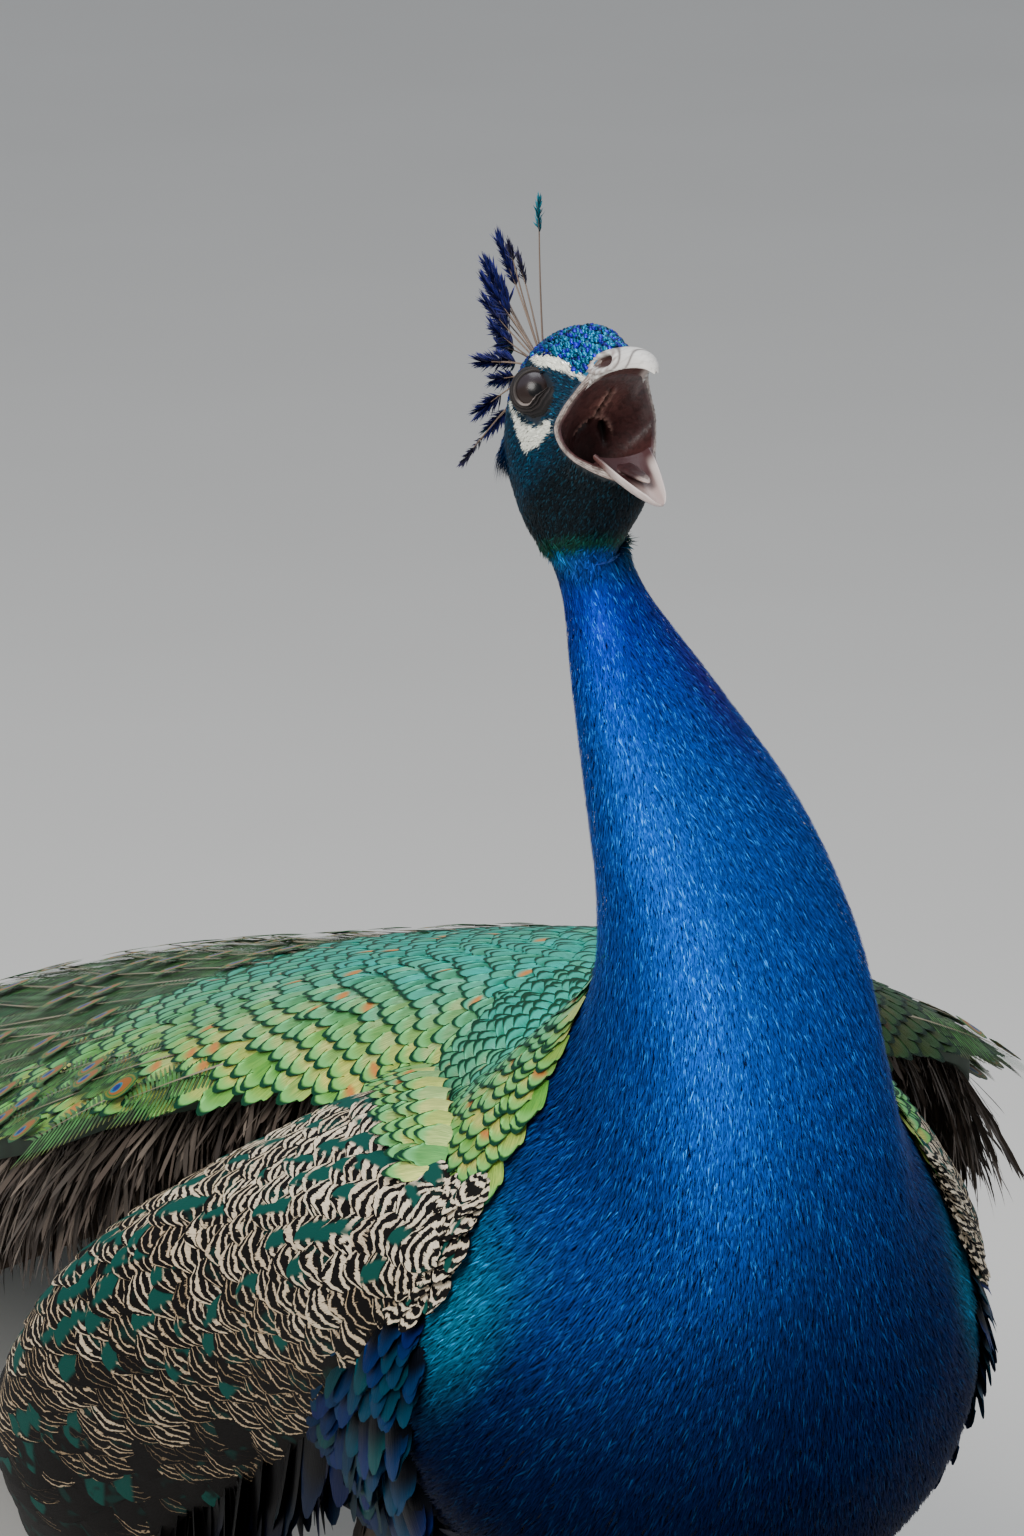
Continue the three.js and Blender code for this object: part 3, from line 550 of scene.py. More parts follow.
lid_outer = on_right_cheek(*np.array(LID_OUTER, float).T)
outer_round, outer_off = around_gaze(lid_outer)
round_order = np.argsort(outer_round)
for mirror in (1, -1):
    local = (skin_points - GAPE) @ SKULL.T * [1, mirror, 1]
    turn, off = around_gaze(local)
    limit = np.interp(turn, outer_round[round_order], outer_off[round_order], period=TURN)
    radius = np.linalg.norm(local - EYE, axis=-1)
    sunk = (1 - smooth_step(0.74, 0.97, off / limit)) * (radius < SOCKET_REACH)
    local = EYE + (local - EYE) * (1 - sunk * np.clip(1 - SOCKET_RADIUS / radius, 0, 1))[..., None]
    skin_points = np.where((sunk > 0)[..., None], from_skull(local * [1, mirror, 1]), skin_points)
cap_point = skin_points[0].mean(0)
points = np.concatenate([skin_points.reshape(-1, 3), [cap_point]])
ring = np.arange(SKIN_ROUND)
cap = np.stack([np.full(SKIN_ROUND, len(points) - 1), ring, (ring + 1) % SKIN_ROUND], -1)
skin_tint = np.concatenate([skin_color.reshape(-1, 3), skin_color[0, :1]])
skin_uv = np.c_[np.r_[(T / HEAD_END).ravel(), 0], np.r_[(A / TURN).ravel(), 0]]
skin_faces = [grid_faces(len(stations), SKIN_ROUND, closed=True)[:, ::-1], cap]


def tint_paint(name, **constants):
    """A paint whose colour is the tint stored at each point of the mesh."""
    paint = Paint(name, **constants)
    return paint.set(Base_Color=paint.attribute("tint", "Color"))


def piece(obj, paint, slot, *nodes):
    """Gives a piece its material, sets it on the bird's one body, and hides the solids it stands for. The
    slot is not used."""
    obj.data.materials.append(paint.material)
    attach(obj, "root")
    if nodes:
        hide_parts(*nodes)


skin = new_mesh("skin", points, skin_faces, {"tint": skin_tint}, uv=skin_uv)
piece(
    skin, tint_paint("skin", Roughness=0.6), "blue_feathers",
    "head", "neck_upper", "neck_middle", "neck_lower", "breast", "trunk", "rump",
)

# ---- Coat of the neck and breast: short hair-like barbs ----
# Each feather tip of a blue neck breaks into fine shining barbs that lie down the neck and over the breast.
# They grow from the skin and overlap like thatch, shortest at the collar.


def scatter(surface, a_span, b_span, density, cells=(120, 120)):
    """Random places on a surface, as many to a square millimetre as density(a, b) asks for:
    a count drawn for each cell of a grid from its area, then each place moved about within its cell."""
    da, db = (a_span[1] - a_span[0]) / cells[0], (b_span[1] - b_span[0]) / cells[1]
    a, b = grid(
        a_span[0] + da * (np.arange(cells[0]) + 0.5),
        b_span[0] + db * (np.arange(cells[1]) + 0.5),
    )
    step_a = surface(a + da / 2, b) - surface(a - da / 2, b)
    step_b = surface(a, b + db / 2) - surface(a, b - db / 2)
    area = np.linalg.norm(np.cross(step_a, step_b), axis=-1)
    which = np.repeat(np.arange(a.size), rng.poisson(area * density(a, b)).ravel())
    move = rng.random((2, len(which))) - 0.5
    return a.ravel()[which] + move[0] * da, b.ravel()[which] + move[1] * db


# A template gives each point's share of the length (u), of half the width (v) and of the lift (h), and the
# faces.
STROKE = {
    "u": np.array([0, 0, 0.5, 0.5, 1.0]),
    "v": np.array([-0.5, 0.5, -1, 1, 0]),
    "h": np.array([0, 0, 0.75, 0.75, 1.0]),
    "faces": [np.array([[0, 1, 3, 2]]), np.array([[2, 3, 4]])],
}


def leaf(rows, columns, root=0.35, widest=0.55, round_tip=0.25, arch=0.0):
    """A feather's grid: its half width grows from the root as a quarter of a sine wave, then narrows by a
    quarter along a parabola; the tip is drawn back at its sides, and arch lowers them."""
    i, j = grid(np.linspace(0, 1, rows), np.linspace(-1, 1, columns))
    widening = root + (1 - root) * np.sin(i / widest * math.pi / 2)
    half = np.where(i < widest, widening, 1 - 0.25 * ((i - widest) / (1 - widest)) ** 2)
    return {
        "u": (i * (1 - round_tip * j**2 * i**2)).ravel(),
        "v": (j * half).ravel(),
        "h": (i - arch * j**2).ravel(),
        "row": i.ravel(),
        "column": j.ravel(),
        "faces": [grid_faces(rows, columns)],
    }


def stand(template, roots, out, lie, length, width, lift):
    """Straight tufts: each point of the template set off from its root along the lie, across it and
    outwards."""
    across = np.cross(out, lie)
    u, v, h = (template[k][None, :, None] for k in "uvh")
    n = len(roots)
    length, width, lift = (np.broadcast_to(x, n)[:, None, None] for x in (length, width, lift))
    flat = roots[:, None] + lie[:, None] * u * length + across[:, None] * v * width / 2
    return flat + out[:, None] * h * lift


def many(template, n):
    """The template's faces for n tufts, each with its own points."""
    first = np.arange(n) * len(template["u"])
    return [(f[None] + first[:, None, None]).reshape(-1, f.shape[1]) for f in template["faces"]]


def spread(values, template):
    """One value or colour for each tuft, given to all its points."""
    return np.repeat(values, len(template["u"]), axis=0)


def tuft_places(template, place, size=0.003):
    """Each tuft's own small patch of the baked picture, its corner at place, a pair of numbers from 0 to
    1."""
    local = np.stack([template["u"], template["v"] / 2 + 0.5], -1)
    return 0.005 + 0.985 * place[:, None] + size * local[None]


def tufts(name, points, template, color, place):
    """A mesh of tufts, with a colour and a place in the baked picture for each."""
    faces, uv = many(template, len(points)), tuft_places(template, place)
    return new_mesh(name, points, faces, {"tint": spread(color, template)}, uv=uv)


def skin_place(t, a):
    """The place of station and angle on the unwrapped skin, both from 0 to 1."""
    return np.c_[t / HEAD_END, (a / TURN) % 1]


def turned(lie, out, angle):
    """Directions turned about the outward normal."""
    c, s = np.cos(angle)[:, None], np.sin(angle)[:, None]
    return lie * c + np.cross(out, lie) * s


barb_paint = tint_paint("blue barbs", Roughness=0.58, Metallic=0.8, Specular_IOR_Level=0.1)
GLINT = np.array([0.02, 0.4, 0.9])


def barbs(name, t_span):
    """A piece of coat: barbs scattered over part of the body, each a little off the lie, in the coat's
    colours."""
    t, a = scatter(skin_point, t_span, (0, TURN), barb_density)
    p, out, along, _ = skin_frame(t, a)
    n = len(t)
    lie = turned(-along, out, rng.normal(0, 0.16, n))
    scale = rng.uniform(0.7, 1.25, n)
    tone = np.clip(rng.normal(0, 1, n), -2, 2.4)
    color = coat_color(t, a)
    bright = blend(color, GLINT * color.sum(-1, keepdims=True) * 1.5, 0.4 * smooth_step(0.6, 2.2, tone))
    color = bright * np.exp(0.28 * tone)[:, None]
    roots = p - out * (coat_depth(t) * 0.3)[:, None]
    lift = coat_depth(t) * 0.3 * rng.uniform(0.7, 1.4, n)
    points = stand(STROKE, roots, out, lie, barb_length(t) * scale, barb_width(t) * scale, lift)
    piece(tufts(name, points, STROKE, color, skin_place(t, a)), barb_paint, "blue_feathers")


def under_the_wings(t, a):
    """1 where the blue coat shows, 0 where a wing or the mantle lies over it."""
    from_back = np.abs((a + math.pi) % TURN - math.pi)
    edge = np.interp(
        t, [3.9, 4.6, 5.2, 5.7, 6.2, 6.6, 6.85, 7.15, 7.3], [1.9, 1.75, 1.5, 1.42, 1.3, 1.15, 1.05, 0.7, 0],
    )
    return 1.0 * (from_back > edge)


def barb_length(t):
    """Millimetres, by station: longest on the breast, shortest half way up the neck."""
    return np.interp(t, [4, 6, 8, 11, 12.6, 13.3, 14], [9, 7, 5.4, 4.6, 5.0, 6.0, 5.0])


def barb_width(t):
    """Millimetres, by station."""
    return np.interp(t, [4, 7, 10, 12.6, 13.3], [0.8, 0.56, 0.46, 0.5, 0.8])


def barb_density(t, a):
    """Barbs to a square millimetre, by station, none under wings and mantle."""
    return np.interp(t, [4, 6, 8, 11, 13, 14], [0.55, 1.0, 1.5, 2.0, 2.1, 2.0]) * under_the_wings(t, a)


barbs("breast_coat", (3.9, 6.3))
barbs("shoulder_coat", (6.3, 7.6))
barbs("lower_neck_coat", (7.6, 9.5))
barbs("upper_neck_coat", (9.5, 13.75))

# ---- Belly, flanks and rump: loose downy plumes ----
# Black-brown plumes cover the belly between the legs, and soft brown ones stand out over the flanks between
# wing and cape. They grow from the skin too, longer and looser than the neck's barbs.
PLUME = {
    "u": np.array([0, 0.35, 0.35, 0.75, 0.75, 1.0, 0.9, 0.9]),
    "v": np.array([0, -0.8, 0.8, -1, 1, 0, -0.75, 0.75]),
    "h": np.array([0, 0.5, 0.5, 0.9, 0.9, 1.0, 1.0, 1.0]),
    "faces": [np.array([[1, 2, 4, 3], [3, 4, 7, 6]]), np.array([[0, 2, 1], [6, 7, 5]])],
}


plume_paint = tint_paint("soft plumes", Roughness=0.8)


def plumes(name, surface, spans, density, color, size, direction, sink=2.0, jitter=0.35):
    """Soft overlapping plumes over a surface, size (length, width, lift) in millimetres; direction(a, b)
    gives each one's lie, in the bird's frame."""
    (length, width, lift), (span_a, span_b) = size, spans
    a, b = scatter(surface, span_a, span_b, density)
    e = 1e-3
    p = surface(a, b)
    out = unit(np.cross(surface(a + e, b) - surface(a - e, b), surface(a, b + e) - surface(a, b - e)))
    n = len(a)
    lie = turned(square_to(direction(a, b), out), out, rng.normal(0, jitter, n))
    scale = rng.uniform(0.7, 1.3, n)
    tone = rng.normal(0, 0.35, n)
    tint = color(a, b) * np.exp(tone)[:, None]
    lifts = lift * rng.uniform(0.5, 1.4, n)
    points = stand(PLUME, p - out * sink, out, lie, length * scale, width * scale, lifts)
    place = np.c_[(a - span_a[0]) / (span_a[1] - span_a[0]), (b - span_b[0]) / (span_b[1] - span_b[0])]
    piece(tufts(name, points, PLUME, tint, place), plume_paint, "dark_feathers")


def body_lie(t, a):
    """The direction along the body away from the head."""
    return -skin_frame(t, a)[2]


plumes(
    "belly_plumes", skin_point, ((0.3, 4.7), (1.75, TURN - 1.75)),
    lambda t, a: np.full(t.shape, 0.05), coat_color, (20, 5, 3.5), body_lie,
)
plumes(
    "flank_plumes", skin_point, ((0.0, 4.3), (-1.7, 1.7)), lambda t, a: 0.09 * (np.abs(a) > 0.3),
    lambda t, a: blend(FLUFF_BROWN, (0.16, 0.12, 0.09), rng.random(t.shape) ** 2), (24, 3.0, 7), body_lie,
    jitter=0.6,
)


# ---- Train and cape: the base under the feathers ----
# The long coverts of the back lie in one arched sheet from the shoulders to the floor, rooted in the skin
# over the rump. This is its inner mass, just below the drawn feathers, so no light comes through between
# them. It is painted dark green: the deeper feathers' own green, darkened as painted shade.
TRAIN = np.array([
    [-34, 2, 529, 78, 48, 14],
    [20, 8, 525, 114, 44, 26],
    [90, 9, 513, 170, 56, 36],
    [160, 8, 496, 197, 68, 42],
    [280, 4, 464, 210, 76, 40],
    [480, 0, 407, 204, 72, 34],
    [760, 0, 326, 186, 56, 28],
    [1040, 0, 226, 174, 42, 24],
    [1270, 0, 106, 168, 28, 20],
    [1420, 0, 28, 152, 12, 17],
    [1500, 0, 11, 116, 5, 13],
])  # y, x of the ridge, top z, half width, drop of the sides, thickness
EDGE_LAG = 17  # how far back the edges lie behind the ridge
CAPE_END = 4  # the row where the cape ends and the train begins


def train_point(t, q, depth=0.0):
    """The upper surface of cape and train: t runs back along it, q is -1 at its right edge and 1 at its
    left. Its sides drop by a power of q, and depth 1 is its underside, nearer to the upper one towards the
    edges."""
    t, q = np.broadcast_arrays(np.asarray(t, float), np.asarray(q, float))
    y, x, top, width, drop, thick = np.moveaxis(catmull(TRAIN, t), -1, 0)
    down = drop * np.abs(q) ** 2.2 + depth * thick * (1 - 0.62 * q * q)
    return np.stack([x + width * q, y + EDGE_LAG * q * q, top - down], -1)


def slab(name, upper, under, paint, slot, nodes):
    """A closed sheet from two grids of points: each row's two lines make a ring, and both ends are filled."""
    rings = np.concatenate([upper, under[:, ::-1]], axis=1)
    rows, n = rings.shape[:2]
    i = np.arange(upper.shape[1] - 1)
    front = np.stack([i, n - 1 - i, n - 2 - i, i + 1], -1)
    back = np.stack([i, i + 1, n - 2 - i, n - 1 - i], -1) + (rows - 1) * n
    faces = [grid_faces(rows, n, closed=True), front[:, ::-1], back[:, ::-1]]
    uv = np.stack(grid(np.linspace(0, 1, rows), np.linspace(0, 1, n)), -1) * 0.99
    piece(new_mesh(name, rings, faces, uv=uv), paint, slot, *nodes)


def clouded_paint(name, color, roughness=0.8):
    """A colour clouded between half and one and a half times its strength."""
    paint = Paint(name, Roughness=roughness)
    shade = paint.noise(90.0, 3.0)
    dark, light = (tuple(c * k for c in color) for k in (0.5, 1.5))
    return paint.set(Base_Color=paint.mix(shade, dark, light))


# The base's dark green is the deeper feathers' own green, darkened as painted shade.
shaded_base_green = clouded_paint("shaded under feathers", (0.012, 0.03, 0.016))
across = np.linspace(-0.985, 0.985, 33)
for name, span, slot, nodes in [
    ("cape_base", (0.0, CAPE_END - 0.01), "scaled_feathers", ("cape",)),
    ("train_base", (CAPE_END + 0.01, 10.0), "train_feathers", ("train_middle", "train_end")),
]:
    places = grid(np.linspace(*span, 60), across)
    upper, under = train_point(*places, 0.06), train_point(*places, 0.94)
    under[..., 2] = np.maximum(under[..., 2], 0.4)
    upper[..., 2] = np.maximum(upper[..., 2], under[..., 2] + 0.6)
    slab(name, upper, under, shaded_base_green, slot, nodes)


# ---- Mantle: the scale-like feathers of cape and back ----
# Small round-tipped feathers in overlapping rows, gold-green with a dark green rim, bluer towards the ridge.
# They grow from the skin, fan outwards over the shoulders and lie straight back behind.


def drape(surface, a, b, heading, length, width, template, lift, start=0.0, side=1):
    """Feathers laid on a curved surface: each root's own slopes turn lengths along and across the feather
    into steps of a and b, the surface is asked for its point there, and the feather stands off it by lift at
    its tip. Heading 0 points along growing a, a right angle along growing b; side is -1 where a cross b
    points inwards."""
    e = 1e-3

    def slopes(p, q):
        slope_a = (surface(p + e, q) - surface(p - e, q)) / (2 * e)
        return slope_a, (surface(p, q + e) - surface(p, q - e)) / (2 * e)

    sa, sb = slopes(a, b)
    first = unit(sa)
    second = square_to(sb, first)
    c, s = np.cos(heading)[:, None], np.sin(heading)[:, None]
    ahead, aside = first * c + second * s, second * c - first * s
    g11, g12, g22 = (sa * sa).sum(-1), (sa * sb).sum(-1), (sb * sb).sum(-1)
    det = g11 * g22 - g12**2
    n = len(a)
    length, width, lift, start = (np.broadcast_to(x, n) for x in (length, width, lift, start))

    def steps_of(direction):
        x, y = (direction * sa).sum(-1), (direction * sb).sum(-1)
        return (g22 * x - g12 * y) / det, (g11 * y - g12 * x) / det

    (ua, ub), (va, vb) = steps_of(ahead), steps_of(aside)
    u = template["u"][None] * length[:, None]
    v = template["v"][None] * width[:, None] / 2
    pa = a[:, None] + ua[:, None] * u + va[:, None] * v
    pb = b[:, None] + ub[:, None] * u + vb[:, None] * v
    out = side * unit(np.cross(*slopes(pa, pb)))
    return surface(pa, pb) + out * (start[:, None] + template["h"][None] * lift[:, None])[..., None]


def cells(n, template, margin=0.04):
    """A square of the baked picture for each of n large feathers, with the feather's grid laid out in it."""
    side = math.ceil(math.sqrt(n))
    k = np.arange(n)
    corner = np.stack([k % side, k // side], -1)[:, None]
    local = np.stack([template["row"], template["column"] / 2 + 0.5], -1)[None]
    return (corner + margin + (1 - 2 * margin) * local) / side


def feather_mesh(name, points, template, values, side=1):
    """A mesh of n feathers from one template; values hold a number for each feather, for its paint to
    read."""
    n = len(points)
    attributes = {
        "row": np.tile(template["row"], n),
        "column": np.tile(template["column"], n),
        **{key: spread(value, template) for key, value in values.items()},
    }
    faces = [f[:, ::-side] for f in many(template, n)]
    return new_mesh(name, points, faces, attributes, uv=cells(n, template))


def row_of_roots(surface, at, across, spacing, odd):
    """Roots in one row over a surface at station at, spacing millimetres apart along the line through its
    places across; every other row is set half a step over."""
    line = surface(at, across)
    arc = np.concatenate([[0], np.cumsum(np.linalg.norm(np.diff(line, axis=0), axis=1))])
    count = max(int(arc[-1] / spacing), 2)
    return np.interp((np.arange(count) + (0.25 if odd else 0.75)) / count * arc[-1], arc, across)


def rows_of_roots(surface, span, across, gap, spacing, middle=0.0):
    """Staggered rows from the first station of the span to the last: gap between rows and spacing between
    roots are (front, back) in millimetres, and the gap is measured at the place middle. Gives t, q and gap
    by root."""
    t, q, gaps = [], [], []
    at, odd = span[0], False
    while at < span[1]:
        share = (at - span[0]) / (span[1] - span[0])
        row_gap = gap[0] + (gap[1] - gap[0]) * share
        row = row_of_roots(surface, at, across, spacing[0] + (spacing[1] - spacing[0]) * share, odd)
        q.append(row)
        t.append(np.full(len(row), at))
        gaps.append(np.full(len(row), row_gap))
        step = np.linalg.norm(surface(at + 0.01, middle) - surface(at, middle)) / 0.01
        at += row_gap / step
        odd = not odd
    return np.concatenate(t), np.concatenate(q), np.concatenate(gaps)


scale = leaf(7, 7, root=0.6, widest=0.6, round_tip=0.36, arch=0.35)
t, q, gap = rows_of_roots(train_point, (0.02, 3.85), np.linspace(-1, 1, 41), (6.4, 12.5), (8.6, 14.0))
n = len(t)
t, q = t + rng.normal(0, 0.012, n), q + rng.normal(0, 0.006, n)
heading = np.sign(q) * np.abs(q) ** 0.8 * np.interp(t, [0, 2, 4], [1.1, 0.8, 0.35])
points = drape(
    train_point, t, q, heading + rng.normal(0, 0.05, n), gap * 2.6 * rng.uniform(0.9, 1.1, n),
    np.interp(t, [0, 4], [12.0, 18.5]) * rng.uniform(0.92, 1.08, n), scale, gap * 0.26, 0.1, side=-1,
)
ridge = 1 - smooth_step(0.25, 0.95, np.abs(q))

mantle_paint = Paint("mantle scales", Roughness=0.5, Metallic=0.55, Specular_IOR_Level=0.15)
row, column, tone, high, spot = mantle_paint.attributes("row", "column", "tone", "ridge", "spot")
column2 = column * column
edge = row + column2 * 0.06
hair = mantle_paint.noise(1.0, 3.0, mantle_paint.combine(column * 22, row * 2.5, tone * 40))
gold = mantle_paint.mix(tone, (0.16, 0.44, 0.05), (0.85, 0.76, 0.16))
sea = mantle_paint.mix(tone, (0.002, 0.25, 0.18), (0.02, 0.6, 0.52))
body = mantle_paint.mix(high, gold, sea)
body = mantle_paint.mix(hair.ramp(0.35, 0.7), mantle_paint.mix(0.5, body, (0.01, 0.14, 0.04)), body)
bronze = mantle_paint.mix(hair, (0.5, 0.16, 0.03), (0.7, 0.3, 0.08))
middle = (column2 * 1.2 + (row - 0.72) * (row - 0.72) * 14)
body = mantle_paint.mix(spot * (1 - middle.ramp(0.25, 0.9)), body, bronze)
bright = mantle_paint.mix(high, (0.2, 0.55, 0.12), (0.03, 0.4, 0.3))
inner = mantle_paint.mix(edge.ramp(0.6, 0.86), body, bright)
rim = edge.ramp(0.86, 0.93)
rimmed = mantle_paint.mix(rim, inner, (0.002, 0.045, 0.02))
# The shade attribute darkens the scales of the cape's left edge: painted shade, where that edge turns from
# the light.
mantle_paint.set(Base_Color=mantle_paint.mix(mantle_paint.attribute("shade"), rimmed, (0.006, 0.02, 0.01)))
mantle_paint.bump(hair + rim * -1.0, 0.5, 0.0004)
# Painted shade grows towards the cape's left edge.
mantle = feather_mesh("mantle_scales", points, scale, {
    "tone": rng.random(n), "ridge": np.clip(ridge + rng.normal(0, 0.08, n), 0, 1),
    "spot": (rng.random(n) < 0.09) * 1.0, "shade": 0.9 * smooth_step(0.35, 0.75, q),
}, side=-1)
piece(mantle, mantle_paint, "scaled_feathers")


def shoulder_point(t, a):
    """The coat's surface, lifted behind the neck, the more the nearer, so that it runs on into the cape's
    front."""
    p = skin_point(t, a)
    q = np.clip((p[..., 0] - 2) / 80, -1, 1)
    front = TRAIN[0][0] + EDGE_LAG * q * q
    rise = np.clip(train_point(0.1, q)[..., 2] - p[..., 2], 0, 24) * smooth_step(-52, -2, p[..., 1] - front)
    return p + rise[..., None] * np.array([0, 0, 1.0])


# The front of the mantle lies on the body itself, from the foot of the neck out to the bend of each wing.
MANTLE_REACH = np.array([
    [3.0, 4.4, 5.0, 5.6, 5.9, 6.2, 6.6, 6.85, 7.25],
    [1.15, 1.2, 1.2, 1.22, 1.26, 1.3, 1.14, 1.02, 0.7],
])  # stations, and the angle from the back to its edge
t, a = [], []
for i, at in enumerate(np.arange(7.25, 3.0, -0.105)):
    reach = np.interp(at, *MANTLE_REACH)
    row = row_of_roots(shoulder_point, at, np.linspace(-reach, reach, 41), 8.6, i % 2)
    a.append(row)
    t.append(np.full(len(row), at))
t, a = np.concatenate(t), np.concatenate(a)
n = len(t)
t, a = t + rng.normal(0, 0.012, n), a + rng.normal(0, 0.01, n)
place = skin_point(t, a)
shown = place[:, 1] - 34 * np.clip(place[:, 0] / 80, -1.3, 1.3) ** 2 < TRAIN[0][0] + 4
t, a = t[shown], a[shown]
n = len(t)
fan = np.sign(a) * np.abs(a) * np.interp(np.abs(a), [0, 1.4], [0.3, 0.75])
points = drape(
    shoulder_point, t, a, math.pi - fan + rng.normal(0, 0.05, n), 18 * rng.uniform(0.9, 1.1, n),
    12.4 * rng.uniform(0.92, 1.08, n), scale, 2.2, 0.8,
)
front_ridge = 1 - smooth_step(0.25, 1.0, np.abs(a))
front = feather_mesh("mantle_front", points, scale, {
    "tone": rng.random(n), "ridge": np.clip(front_ridge + rng.normal(0, 0.08, n), 0, 1),
    "spot": (rng.random(n) < 0.06) * 1.0, "shade": 0.0 * t,
})
piece(front, mantle_paint, "scaled_feathers")

# ---- Wings: folded, with barred coverts ----
# Each wing is a bowed sheet of overlapping coverts, black with wavy buff bars and green gloss along many of
# them. The coverts are smallest at the bend of the wing, and the rufous quills show below and behind.
WING = np.array([
    [92, -132, 466, 99, -122, 432, 6, 16],
    [90, -92, 488, 112, -84, 398, 24, 40],
    [94, -25, 488, 122, 0, 346, 48, 62],
    [104, 65, 446, 140, 90, 292, 78, 92],
    [112, 165, 378, 162, 185, 240, 64, 78],
    [118, 260, 334, 170, 280, 218, 28, 38],
    [126, 345, 298, 160, 352, 228, 9, 12],
    [138, 405, 256, 144, 407, 245, 2, 5],
])  # top x, y, z, bottom x, y, z, outward bulge, thickness
SIDES = ("right", -1), ("left", 1)
WING_SPREAD = {"right": 1.0, "left": 0.7}  # how far each stands off the body
QUILLS_FROM = 4  # the row behind which only quills lie
WING_OUT = unit(np.array([1, 0, 0.12]))


def wing_surface(side):
    """The outer surface of one wing: t runs back from the bend, s down from the upper edge. Each section is a
    straight line from the top to the bottom edge, bowed outwards by a parabola."""
    sign, bow = (1, WING_SPREAD["left"]) if side == "left" else (-1, WING_SPREAD["right"])

    def point(t, s, depth=0.0):
        t, s = np.broadcast_arrays(np.asarray(t, float), np.asarray(s, float))
        keys = catmull(WING, t)
        top, bottom = keys[..., 0:3], keys[..., 3:6]
        bulge = (keys[..., 6] * bow - depth * keys[..., 7]) * 4 * s * (1 - s)
        p = top + (bottom - top) * s[..., None] + WING_OUT * bulge[..., None]
        return p * np.array([sign, 1, 1])

    return point


covert_paint = Paint("barred coverts", Roughness=0.65, Specular_IOR_Level=0.1)
row, column, tone, pale, size = covert_paint.attributes("row", "column", "tone", "pale", "size")
along_mm = row * size
lane = covert_paint.combine(column * 1.3, along_mm * 0.16, tone * 60)
wander = covert_paint.noise(1.0, 2.0, lane)
barb_lane = covert_paint.combine(column * 16 + along_mm * 0.5, along_mm * 0.25, tone * 33)
barbs_fine = covert_paint.noise(1.0, 3.0, barb_lane)
wave = (along_mm * 1.3 + column * column * 1.9 + wander * 11 + barbs_fine * 2.8).math("SINE")
bars = (wave + (pale - 0.95) * 1.15).ramp(-0.02, 0.26)
patchy = covert_paint.noise(1.0, 1.0, covert_paint.combine(column * 0.9, along_mm * 0.07, tone * 91 + 7))
one_side = 1 - ((column + 0.3) * (column + 0.3)).ramp(0.08, 0.24)
glossy = covert_paint.attribute("gloss") * patchy.ramp(0.36, 0.46) * one_side
dark = covert_paint.mix(patchy.ramp(0.6, 0.72), (0.003, 0.0022, 0.002), (0.001, 0.022, 0.018))
dark = covert_paint.mix(glossy, dark, (0.001, 0.055, 0.044))
buff = covert_paint.mix(pale, (0.36, 0.23, 0.11), (0.68, 0.58, 0.43))
buff = covert_paint.mix(barbs_fine.ramp(0.5, 0.75) * 0.8, buff, (0.16, 0.11, 0.075))
covert_paint.set(Base_Color=covert_paint.mix(bars * (1 - glossy), dark, buff))
covert_paint.bump(barbs_fine, 0.4, 0.0004)

quill_paint = Paint("rufous quills", Roughness=0.55)
row, column, tone = quill_paint.attributes("row", "column", "tone")
vane_lines = quill_paint.noise(1.0, 2.0, quill_paint.combine(column * 3 + row * 60, column * 0.5, tone * 20))
rufous = quill_paint.mix(vane_lines, (0.16, 0.06, 0.025), (0.34, 0.15, 0.07))
rufous = quill_paint.mix((column * column).ramp(0.6, 0.95), rufous, (0.08, 0.035, 0.02))
shaft = (column * column).ramp(0.004, 0.012)
quill_paint.set(Base_Color=quill_paint.mix(shaft, (0.12, 0.07, 0.04), rufous))
quill_paint.bump(vane_lines, 0.3, 0.0003)

